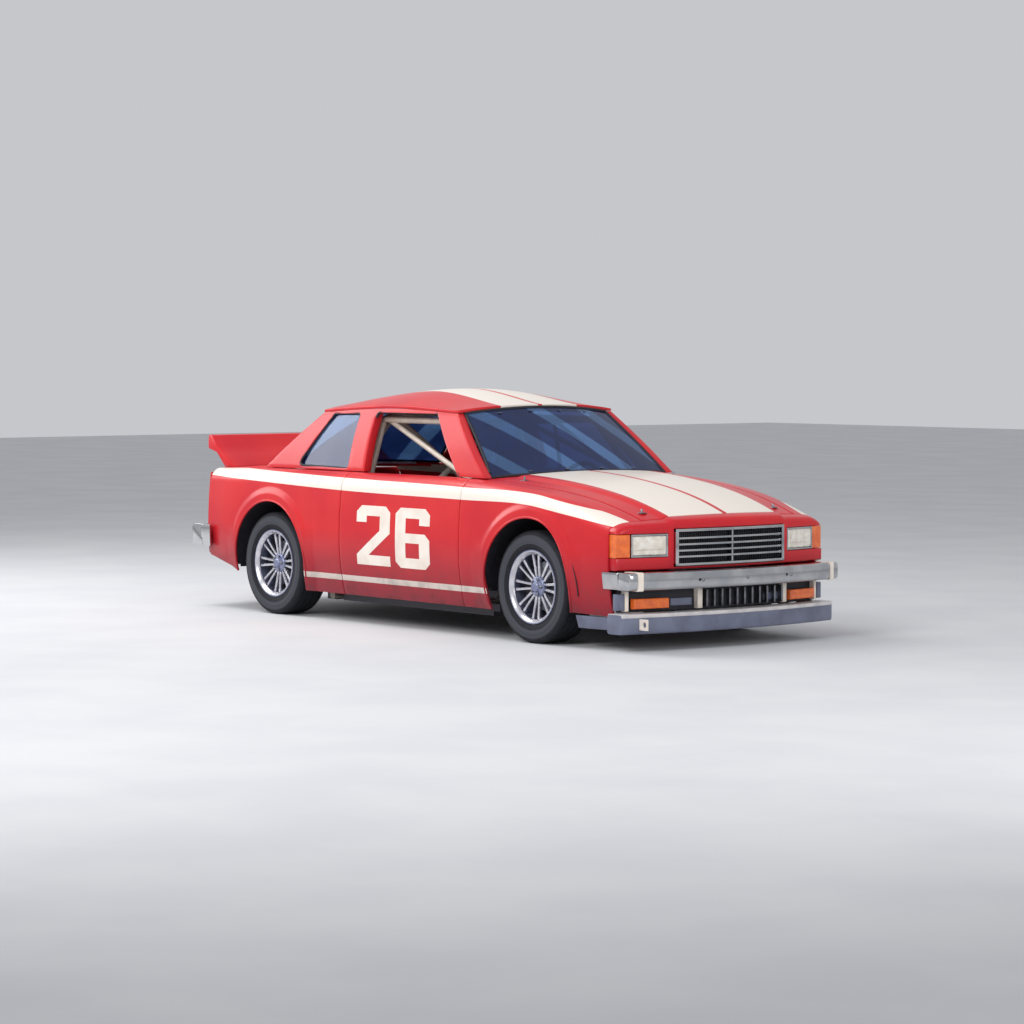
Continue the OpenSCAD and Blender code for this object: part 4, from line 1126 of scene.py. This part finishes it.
def race_number(side, name):
    """The digits 2 and 6 as vinyl film, laid on the door so that they read from outside."""
    bm = bmesh.new()
    for k, digit in enumerate((TWO, SIX)):
        start = -331 + 425 * k
        for loop in digit:
            ring = []
            for u, v in loop:
                x = start + 365 * u
                ring.append(bm.verts.new((x if side < 0 else 128 - x, 0, 397 + 387 * v)))
            for a, b in zip(ring, ring[1:] + ring[:1]):
                bm.edges.new((a, b))
    bmesh.ops.triangle_fill(bm, edges=bm.edges, use_beauty=True)
    for normal, marks in (((1, 0, 0), spread(-330, 458, 34)), ((0, 0, 1), spread(398, 783, 17))):
        for m in marks:
            bmesh.ops.bisect_plane(bm, geom=[*bm.verts, *bm.edges, *bm.faces],
                                   plane_co=tuple(c * m for c in normal), plane_no=normal)
    front = [(v.co.x, side * (side_y(v.co.x, v.co.z) + 1.2), v.co.z) for v in bm.verts]
    back = [(x, y - side * 1.6, z) for x, y, z in front]
    bm.verts.index_update()
    n = len(front)
    faces = [tuple(v.index for v in f.verts) for f in bm.faces]
    faces += [tuple(i + n for i in reversed(f)) for f in faces]
    faces += [(e.verts[0].index, e.verts[1].index, e.verts[1].index + n, e.verts[0].index + n)
              for e in bm.edges if len(e.link_faces) == 1]
    bm.free()
    piece("race_number_" + name, (front + back, faces), cream_vinyl, body=name)


# ---- Cabin ------------------------------------------------------------------------------------------

HOOP_X = -500
HOOP = [(HOOP_X, 600, FLOOR_Z + 7), (HOOP_X, 600, FLOOR_Z + 40), (HOOP_X, 664, 520), (HOOP_X, 678, 960),
        (HOOP_X, 560, 1335), (HOOP_X, 480, 1368)]
FRONT_LEG = [(800, 600, FLOOR_Z + 7), (800, 600, FLOOR_Z + 40), (770, 664, 520), (640, 684, 930),
             (330, 560, 1332)]
CAGE_R = 22


def across(path):
    """The path carried on to its mirror image."""
    return list(path) + [(x, -y, z) for x, y, z in reversed(path)]


def roll_cage():
    side = [tube(FRONT_LEG + [(HOOP_X, 560, 1335)], CAGE_R),
            tube([(HOOP_X, 480, 1366), (-1330, 470, 640), (-1352, 470, 600), (-1352, 470, 569)], CAGE_R),
            tube([(HOOP_X, 540, 1345), (620, 670, 950)], CAGE_R * 0.8),
            *[tube([(330, 215, 1332), (650, foot, 915)], CAGE_R * 0.6) for foot in (25, 600)]]
    for z in (400, 560, 720):
        f = (z - 400) / 320
        side.append(tube([(HOOP_X, lerp(640, 668, f), z), (lerp(775, 745, f), 655, z)], CAGE_R * 0.9))
    middle = [tube(across(HOOP), CAGE_R), tube([(330, 560, 1332), (330, -560, 1332)], CAGE_R),
              tube([(650, 680, 915), (650, -680, 915)], CAGE_R * 0.9),
              tube([(HOOP_X, 672, 880), (HOOP_X, -672, 880)], CAGE_R),
              tube([(HOOP_X, 480, 1366), (HOOP_X, -660, 500)], CAGE_R * 0.9),
              tube([(HOOP_X, -480, 1366), (HOOP_X, 660, 500)], CAGE_R * 0.9)]
    piece("cage_tubes", joined(*middle, both(joined(*side))), cream_enamel, stands_for=["roll_cage"])
    feet = [place(block((-55, -40, -1), (55, 40, 6)), (x, s * 600, FLOOR_Z + 7)) for x in (HOOP_X, 800)
            for s in (-1, 1)]
    piece("cage_foot_plates", joined(*feet), cream_enamel, edge=2)


def cushion(name, centre, size, crown, tilt=0.0, channels=4):
    """Stuffed pad: crowned in the middle, pulled in at its corners, with sewn channels across it."""
    lx, ly, lz = size
    n, m = 56, 44
    top, bottom = [], []
    for i in range(n + 1):
        row_t, row_b = [], []
        for j in range(m + 1):
            u, v = lerp(-1, 1, i / n), lerp(-1, 1, j / m)
            pull = 1 - 0.05 * (abs(u) ** 4 + abs(v) ** 4) + 0.04 * abs(u * v) ** 3
            rise = (1 - abs(u) ** 6) ** 0.5 * (1 - abs(v) ** 6) ** 0.5
            groove = 0.2 * math.exp(-(((u + 1) * channels / 2) % 1 - 0.5) ** 2 / 0.004) * rise
            x, y = u * lx / 2 * pull, v * ly / 2 * pull
            z = lz * 0.5 * rise + crown * (1 - u * u) * (1 - v * v) - groove * crown * 1.6
            c, s = math.cos(tilt), math.sin(tilt)
            for row, h in ((row_t, z), (row_b, -lz * 0.5 * rise)):
                row.append((centre[0] + x * c - h * s, centre[1] + y, centre[2] + x * s + h * c))
        top.append(row_t)
        bottom.append(row_b)
    pad = piece(name, shell(top, bottom), seat_cloth, sharp=80)


def seat():
    """Moulded shell with side wings, two padded cushions, a head pad and a five-point harness."""
    def wing(s):
        outline = [(-330, 300), (-392, 800), (-384, 860), (-215, 860), (-205, 800), (60, 460), (170, 340),
                   (170, 300)]
        return loft([[(x, SEAT_Y + s * y, z) for x, z in eased(outline, 22, 4)] for y in (188, 206)])

    back = loft([[(x, SEAT_Y + y, z) for x, z in ((-330, 300), (-440, 1080), (-446, 1112), (-424, 1118),
                                                   (-412, 1080), (-300, 300))]
                 for y in spread(-150, 150, 8)])
    base = ((-280, 240), (-310, 320), (178, 346), (186, 300), (186, 240))
    pan = loft([[(x, SEAT_Y + y, z) for x, z in base] for y in spread(-188, 188, 8)])
    piece("seat_shell", joined(wing(-1), wing(1), back, pan), black_plastic, stands_for=["seat"],
          edge=4)
    cushion("seat_base_cushion", (-60, SEAT_Y, 366), (440, 340, 44), 16)
    cushion("seat_back_cushion", (-336, SEAT_Y, 640), (560, 300, 40), 14, tilt=math.radians(98), channels=5)
    cushion("seat_head_pad", (-392, SEAT_Y, 1030), (150, 250, 44), 12, tilt=math.radians(98), channels=2)
    harness()


def harness():
    def strap(path, width, flat):
        """Webbing 3 mm thick along a path; flat is the direction across it."""
        rings = []
        for p in rounded(path, 50, 6):
            p, w = Vector(p), Vector(flat).normalized() * width / 2
            n = Vector((1, 0, 0.25)).normalized() * 1.5 if abs(flat[1]) > 0.5 else Vector((0, 0, 1.5))
            rings.append([tuple(p - w - n), tuple(p - w + n), tuple(p + w + n), tuple(p + w - n)])
        return loft(rings)

    straps = []
    for s in (-1, 1):
        y = SEAT_Y + s * 75
        straps.append(strap([(-470, y, 1000), (-392, y, 985), (-345, y, 860), (-300, y - s * 20, 640),
                             (-256, SEAT_Y + s * 22, 470)], 50, (0, 1, 0)))
        straps.append(strap([(-236, SEAT_Y + s * 24, 440), (-236, SEAT_Y + s * 110, 425),
                             (-262, SEAT_Y + s * 182, 400)], 46, (0.3, 0, 1)))
    straps.append(strap([(-230, SEAT_Y, 440), (-150, SEAT_Y, 404), (-30, SEAT_Y, 398)], 44, (0, 1, 0)))
    piece("harness_webbing", joined(*straps), belt_webbing)
    buckle = revolve_z([(0.1, 0), (34, 0), (36, 6), (30, 13), (12, 16), (0.1, 16)], 40)
    turned = [(-226 + z * 0.95 - x * 0.3, SEAT_Y + y, 452 + x * 0.95 + z * 0.3) for x, y, z in buckle[0]]
    piece("harness_buckle", (turned, buckle[1]), steel, edge=1)


COLUMN_FOOT, COLUMN_HEAD = Vector((790, SEAT_Y, 700)), Vector((455, SEAT_Y, 850))


def dashboard():
    """Flat race dash under a padded brow, with five round gauges and a row of switches."""
    section = eased([(700, 700), (700, 858), (690, 862), (694, 900), (704, 938), (760, 950), (820, 950),
                     (806, 870), (762, 862), (762, 700)], 8, 3)
    panel = loft([[(x, y, z) for x, z in section] for y in spread(-600, 600, 20)])
    column = tube([COLUMN_FOOT, COLUMN_HEAD + (COLUMN_FOOT - COLUMN_HEAD) * 0.02], 30, bend=1)
    piece("dash_panel", joined(panel, column), black_plastic, stands_for=["dashboard"],
          edge=2)
    rims, dials = [], []
    for y, z, r in ((SEAT_Y, 800, 52), (SEAT_Y + 118, 815, 34), (SEAT_Y - 118, 815, 34),
                    (SEAT_Y - 200, 800, 30), (SEAT_Y + 118, 735, 28)):
        rims.append([(700 - u, y + v, z + w) for v, w, u in
                     revolve_z([(r - 6, 0), (r, 0), (r, 9), (r - 3, 12), (r - 6, 9)], 40)[0]])
        dials.append([(699 - u, y + v, z + w) for v, w, u in
                      revolve_z([(0.1, 0), (r - 5, 0), (r - 5, 4), (0.1, 4)], 40)[0]])
    ring_faces = revolve_z([(1, 0), (2, 0), (2, 1), (1.5, 2), (1, 1)], 40)[1]
    dial_faces = revolve_z([(0.1, 0), (1, 0), (1, 1), (0.1, 1)], 40)[1]
    piece("gauge_rims", joined(*[(p, ring_faces) for p in rims]), chrome)
    piece("gauge_dials", joined(*[(p, dial_faces) for p in dials]), gauge_face)
    toggle = tube([(0, 0, -4), (-12, 0, 0), (-26, 0, 6)], 4, 10, 1)
    repeat("dash_switches", ROW, toggle, steel, Count=6, Step=(0, 0.045, 0), Place=(0.7, -0.12, 0.8))


def steering_wheel():
    """Suede-covered ring on three drilled spokes, with its hub and quick release."""
    axis = (COLUMN_HEAD - COLUMN_FOOT).normalized()
    side = Vector((0, 1, 0))
    up = side.cross(axis)

    def put(solid):
        points, faces = solid
        return [tuple(COLUMN_HEAD + side * x + up * y + axis * z) for x, y, z in points], faces

    ring = []
    for k in range(96):
        a = math.tau * k / 96
        r = 14 + 0.8 * math.cos(12 * a)
        ring.append([((172 + r * math.cos(b)) * math.cos(a), (172 + r * math.cos(b)) * math.sin(a),
                      98 + r * math.sin(b)) for b in (math.tau * j / 16 for j in range(16))])
    piece("steering_ring", put(loft(ring, closed=True)), seat_cloth, body="steering_wheel",
          stands_for=["steering_wheel"], sharp=80)
    spokes = []
    for k in range(3):
        a = math.tau * k / 3 + math.pi / 2
        c, s = math.cos(a), math.sin(a)
        outline = [(30, -19, 94), (166, -11, 96), (166, 11, 96), (30, 19, 94)]
        plate = loft([[(x * c - y * s, x * s + y * c, z + t) for x, y, z in outline] for t in (0, 5)])
        holes = [loft([[((x + r * math.cos(b)) * c - r * math.sin(b) * s,
                         (x + r * math.cos(b)) * s + r * math.sin(b) * c, z)
                        for b in (math.tau * j / 20 for j in range(20))] for z in (80, 110)])
                 for x, r in ((72, 9), (106, 8), (138, 6.5))]
        spokes.append(cut("spoke", plate, holes))
    hub = revolve_z([(0.1, 0), (15, 0), (15, 78), (40, 84), (42, 96), (38, 104), (20, 108), (0.1, 109)], 48)
    piece("steering_hub", put(joined(hub, *spokes)), blue_alloy, body="steering_wheel", edge=1)


# ---- Wheels ------------------------------------------------------------------------------------------

def revolve_z(profile, segments):
    """Points and faces of an outline (radius, height) turned about +Z."""
    rings = []
    for k in range(segments):
        a = math.tau * k / segments
        rings.append([(r * math.cos(a), r * math.sin(a), z) for r, z in profile])
    return loft(rings, closed=True)


def place(solid, spot):
    points, faces = solid
    return [(x + spot[0], y + spot[1], z + spot[2]) for x, y, z in points], faces


def symmetric(half):
    return half + [(-u, r) for u, r in reversed(half)]


TYRE_SECTION = symmetric([
    (96, 223), (101.5, 229), (107, 236), (112, 247), (116, 260), (117.5, 270), (117, 271.5), (118, 273),
    (118, 299), (117, 301), (117.5, 303), (115.5, 318), (113.5, 322), (114, 325), (109, 334), (101, 341.5),
    (90, 346), (78, 347), (73, 347), (71.5, 341), (64.5, 341), (63, 347), (31, 347), (29.5, 341), (22.5, 341),
    (21, 347)])
BARREL_SECTION = [(-108, 218), (-108, 228), (-102, 228), (-97, 222), (-40, 222), (60, 222), (98, 222),
                  (102, 228), (108, 228), (108, 219), (100, 214), (92, 206), (60, 204), (-60, 206),
                  (-98, 214)]
LIP_SECTION = [(84, 205.5), (96, 213.5), (106, 219), (109, 222), (109, 216), (100, 208), (90, 200),
               (84, 199)]


def wheel(corner, axle, side):
    body = corner + "_wheel"
    turn = (-side * math.pi / 2, 0, 0)
    centre = Vector((axle, side * WHEEL_MID, TYRE_R)) * MM
    rubber_ring = piece(corner + "_tyre_carcass", revolve(TYRE_SECTION, axle, side, 160), rubber, body=body,
                        stands_for=[corner + "_tyre"], sharp=50)
    reach = rubber_ring.data.attributes.new("reach", "FLOAT", "POINT")
    reach.data.foreach_set("value", [math.hypot(v.co.x - centre.x, v.co.z - centre.z)
                                     for v in rubber_ring.data.vertices])
    piece(corner + "_rim_barrel", revolve(BARREL_SECTION, axle, side), blue_alloy, body=body,
          stands_for=[corner + "_rim"], sharp=30)
    piece(corner + "_rim_lip", revolve(LIP_SECTION, axle, side), bright_alloy, body=body, sharp=30)
    # Spokes in pairs: each runs from the hub to the barrel, thinner and nearer the lip at its end
    spoke = []
    for s in (-1, 1):
        rings = []
        for r, off, half, z, deep in ((44, 12, 10, 60, 22), (90, 16, 10, 68, 22), (150, 22, 10, 76, 20),
                                      (207, 29, 13, 82, 20)):
            y = s * off
            rings.append([(r, y - half, z - deep), (r, y + half, z - deep), (r, y + half * 0.7, z),
                          (r, y - half * 0.7, z)])
        spoke.append(loft(rings))
    out = (centre.x, centre.y, centre.z)
    repeat(corner + "_spokes", RING, joined(*spoke), bright_alloy, body=body, edge=1.5, Count=8,
           Radius=ON_AXIS, Place=out, Turn=turn)
    hub = [(0.1, 38), (60, 38), (64, 44), (64, 62), (58, 70), (34, 74), (31, 84), (26, 90), (10, 92),
           (0.1, 92)]
    points, faces = revolve_z(hub, 64)
    cap = [(axle + x, side * (WHEEL_MID + z), TYRE_R + y) for x, y, z in points]
    piece(corner + "_hub_cap", (cap, faces), blue_alloy, body=body, edge=1)
    nut = revolve_z([(0.1, 0), (9.5, 0), (9.5, 12), (6, 15), (0.1, 15)], 6)
    nuts = [(x, y, z + 69) for x, y, z in nut[0]]
    repeat(corner + "_wheel_nuts", RING, (nuts, nut[1]), steel, body=body, edge=1, Count=5, Radius=0.047,
           Place=out, Turn=turn)
    disc = revolve([(-22, 66), (-22, 150), (-15, 151), (-15, 66)], axle, side, 96)
    disc_b = revolve([(-7, 66), (-7, 151), (0, 150), (0, 66)], axle, side, 96)
    bell = revolve([(-20, 36), (-20, 68), (38, 60), (38, 36)], axle, side, 64)
    piece(corner + "_brake_disc", joined(disc, disc_b, bell), steel, body=body, sharp=30)
    vane = block((70, -2.5, -15), (146, 2.5, -7))
    repeat(corner + "_disc_vanes", RING, vane, steel, body=body, Count=36, Radius=ON_AXIS, Place=out,
           Turn=turn)
    valve = tube([(190, 0, 66), (194, 0, 84), (190, 0, 96)], 3.4, 10, 1)
    points = [(axle + x * 0.94, side * (WHEEL_MID + z), TYRE_R + x * 0.34 + y) for x, y, z in valve[0]]
    piece(corner + "_valve", (points, valve[1]), black_plastic, body=body)


def caliper(name, axle, side, body):
    """Four-pot caliper over the rear edge of the disc."""
    rings = []
    for a in spread(150, 210, 10):
        c, s = math.cos(math.radians(a)), math.sin(math.radians(a))
        rings.append([(axle + r * c, side * (WHEEL_MID + u), TYRE_R + r * s)
                      for u, r in ((-44, 118), (-44, 178), (-38, 184), (14, 184), (20, 178), (20, 118),
                                   (5, 118), (5, 158), (-27, 158), (-27, 118))])
    piece(name, loft(rings), frame_black, body=body, edge=1.5)


# ---- Mechanical parts that show from below -----------------------------------------------------------

def helix(x, y, z_low, z_high, r, wire, turns, lean=0.0):
    path = []
    for k in range(turns * 20 + 1):
        a, z = math.tau * k / 20, lerp(z_low, z_high, k / (turns * 20))
        path.append((x + r * math.cos(a), y + r * math.sin(a) - lean * (z - z_low), z))
    return tube(path, wire, 10, 1)


def springs():
    front = helix(FRONT_AXLE, 520, 250, 480, 62, 7, 6, lean=math.tan(math.radians(8)))
    rear = helix(REAR_AXLE - 100, 400, 312, 480, 60, 8, 5)
    piece("coil_springs", both(joined(front, rear)), spring_paint)


def exhaust():
    pipe_z = 172
    run = tube([(1040, 262, 290), (1000, 262, 212), (935, 270, pipe_z), (100, 290, pipe_z),
                (-560, 330, pipe_z), (-690, 400, pipe_z - 2), (-760, 520, pipe_z - 4),
                (-760, 800, pipe_z - 6)], 28, 24)
    box = tube([(-480, 325, pipe_z), (-460, 323.5, pipe_z), (0, 296.5, pipe_z), (20, 295, pipe_z)], 38, 28, 1)
    bands = [tube([(x, 296.5 - x * 0.0587, pipe_z), (x - 16, 297.5 - x * 0.0587, pipe_z)], 39.5, 28, 1)
             for x in (-30, -240, -440)]
    piece("exhaust_pipes", both(joined(run, box, *bands)), exhaust_steel, stands_for=["exhaust"])


def under_parts():
    """CAD nodes whose shapes stay, with their real finishes, and the small parts added to them."""
    for node, coat in {
            "chassis_frame": frame_black, "floor_pan": floor_grey, "engine_block": cast_iron,
            "driveline": cast_iron, "rear_axle": cast_iron, "front_suspension": frame_black,
            "rear_suspension": frame_black, "fuel_cell": black_plastic, "radiator": black_plastic,
            "wheel_tubs": seal_rubber, "knuckle_left": cast_iron, "knuckle_right": cast_iron}.items():
        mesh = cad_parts[node].data
        mesh.materials.clear()
        mesh.materials.append(coat)
    bolt = revolve_z([(0.1, 0), (10, 0), (10, 6), (7, 9), (0.1, 9)], 6)
    repeat("axle_cover_bolts", RING, bolt, steel, Count=10, Radius=0.118,
           Place=(REAR_AXLE * MM, 0.104, 0.341), Turn=(-math.pi / 2, 0, 0))
    repeat("bellhousing_bolts", RING, bolt, steel, Count=10, Radius=0.104, Place=(0.909, 0, 0.34),
           Turn=(0, -math.pi / 2, 0))
    fin = block((0, -322, -2), (7, 322, 2))
    repeat("radiator_fins", ROW, fin, steel, Count=38, Step=(0, 0, 0.01), Place=(2.094, 0, 0.305))
    cover = loft([[(x, y, z) for y, z in eased([(-85, 0), (-70, 62), (70, 62), (85, 0)], 16, 4)]
                  for x in (1130, 1620)])
    covers = [[(x, s * 215 + y * 0.8, 741 + z) for x, y, z in cover[0]] for s in (-1, 1)]
    piece("valve_covers", joined(*[(p, cover[1]) for p in covers]), chrome, edge=4)
    cleaner = place(revolve_z([(0.1, 0), (150, 0), (158, 6), (158, 40), (148, 50), (20, 54), (0.1, 54)], 64),
                    (1375, 0, 851))
    piece("air_cleaner", cleaner, chrome, edge=1)
    straps = [tube([(x, -338, 252), (x, -338, 502), (x, 338, 502), (x, 338, 252)], 6, 8, 20)
              for x in (-2030, -1810)]
    piece("fuel_cell_straps", joined(*straps), steel)


# ---- The car -----------------------------------------------------------------------------------------

quarter_panels()
fenders()
arch_lips()
arch_seals()
tail_corners()
door(1, "door_left")
door(-1, "door_right")
hood()
trunk()
spoiler()
roof()
cab_side()
scuttle()
windows()
nose()
grille()
headlights()
signal_lamps()
front_bumper()
rear_bumper()
lower_grille()
valance()
tail()
race_number(1, "door_left")
race_number(-1, "door_right")
roll_cage()
seat()
dashboard()
steering_wheel()
for end, axle in (("front", FRONT_AXLE), ("rear", REAR_AXLE)):
    for hand, side in (("left", 1), ("right", -1)):
        wheel(end + "_" + hand, axle, side)
        caliper(end + "_" + hand + "_caliper", axle, side, "knuckle_" + hand if end == "front" else "root")
springs()
exhaust()
under_parts()

# ---- Floor, light and camera -------------------------------------------------------------------------

def studio():
    bpy.ops.mesh.primitive_plane_add(size=80)
    floor = bpy.context.object
    floor.name = "studio_floor"
    pale = surface("matt_studio_floor", "#cfd0d2", "#cacbce", 0.9, 900, Specular_IOR_Level=0.2)
    floor.data.materials.append(pale)
    world = bpy.data.worlds.new("soft_room")
    bpy.context.scene.world = world
    world.use_nodes = True
    world.node_tree.nodes["Background"].inputs["Color"].default_value = colour("#f4f6fa")
    world.node_tree.nodes["Background"].inputs["Strength"].default_value = 0.62
    for name, spot, size, power in (("key", (4, -9, 6), 4, 430), ("overhead", (-3.4, -2.5, 7), 4, 330),
                                    ("nose_fill", (10, -1, 3), 3, 170), ("back", (-8, -4, 4.5), 4, 220)):
        lamp = bpy.data.lights.new(name, "AREA")
        lamp.size, lamp.energy = size, power
        obj = bpy.data.objects.new(name, lamp)
        bpy.context.scene.collection.objects.link(obj)
        obj.location = spot
        obj.rotation_euler = (Vector((0, 0, 0.6)) - obj.location).to_track_quat("-Z", "Y").to_euler()


def camera():
    lens = bpy.data.cameras.new("camera")
    obj = bpy.data.objects.new("camera", lens)
    bpy.context.scene.collection.objects.link(obj)
    bpy.context.scene.camera = obj
    obj.location = (16.667, -13.182, 1.811)
    obj.rotation_euler = (Vector((0.043, 0, 0.60)) - obj.location).to_track_quat("-Z", "Y").to_euler()
    lens.sensor_width = 36
    lens.lens = 112.8
    lens.shift_x, lens.shift_y = 0.0104, 0.0181
    lens.clip_end = 200


studio()
camera()
bpy.context.scene.view_settings.view_transform = "Standard"
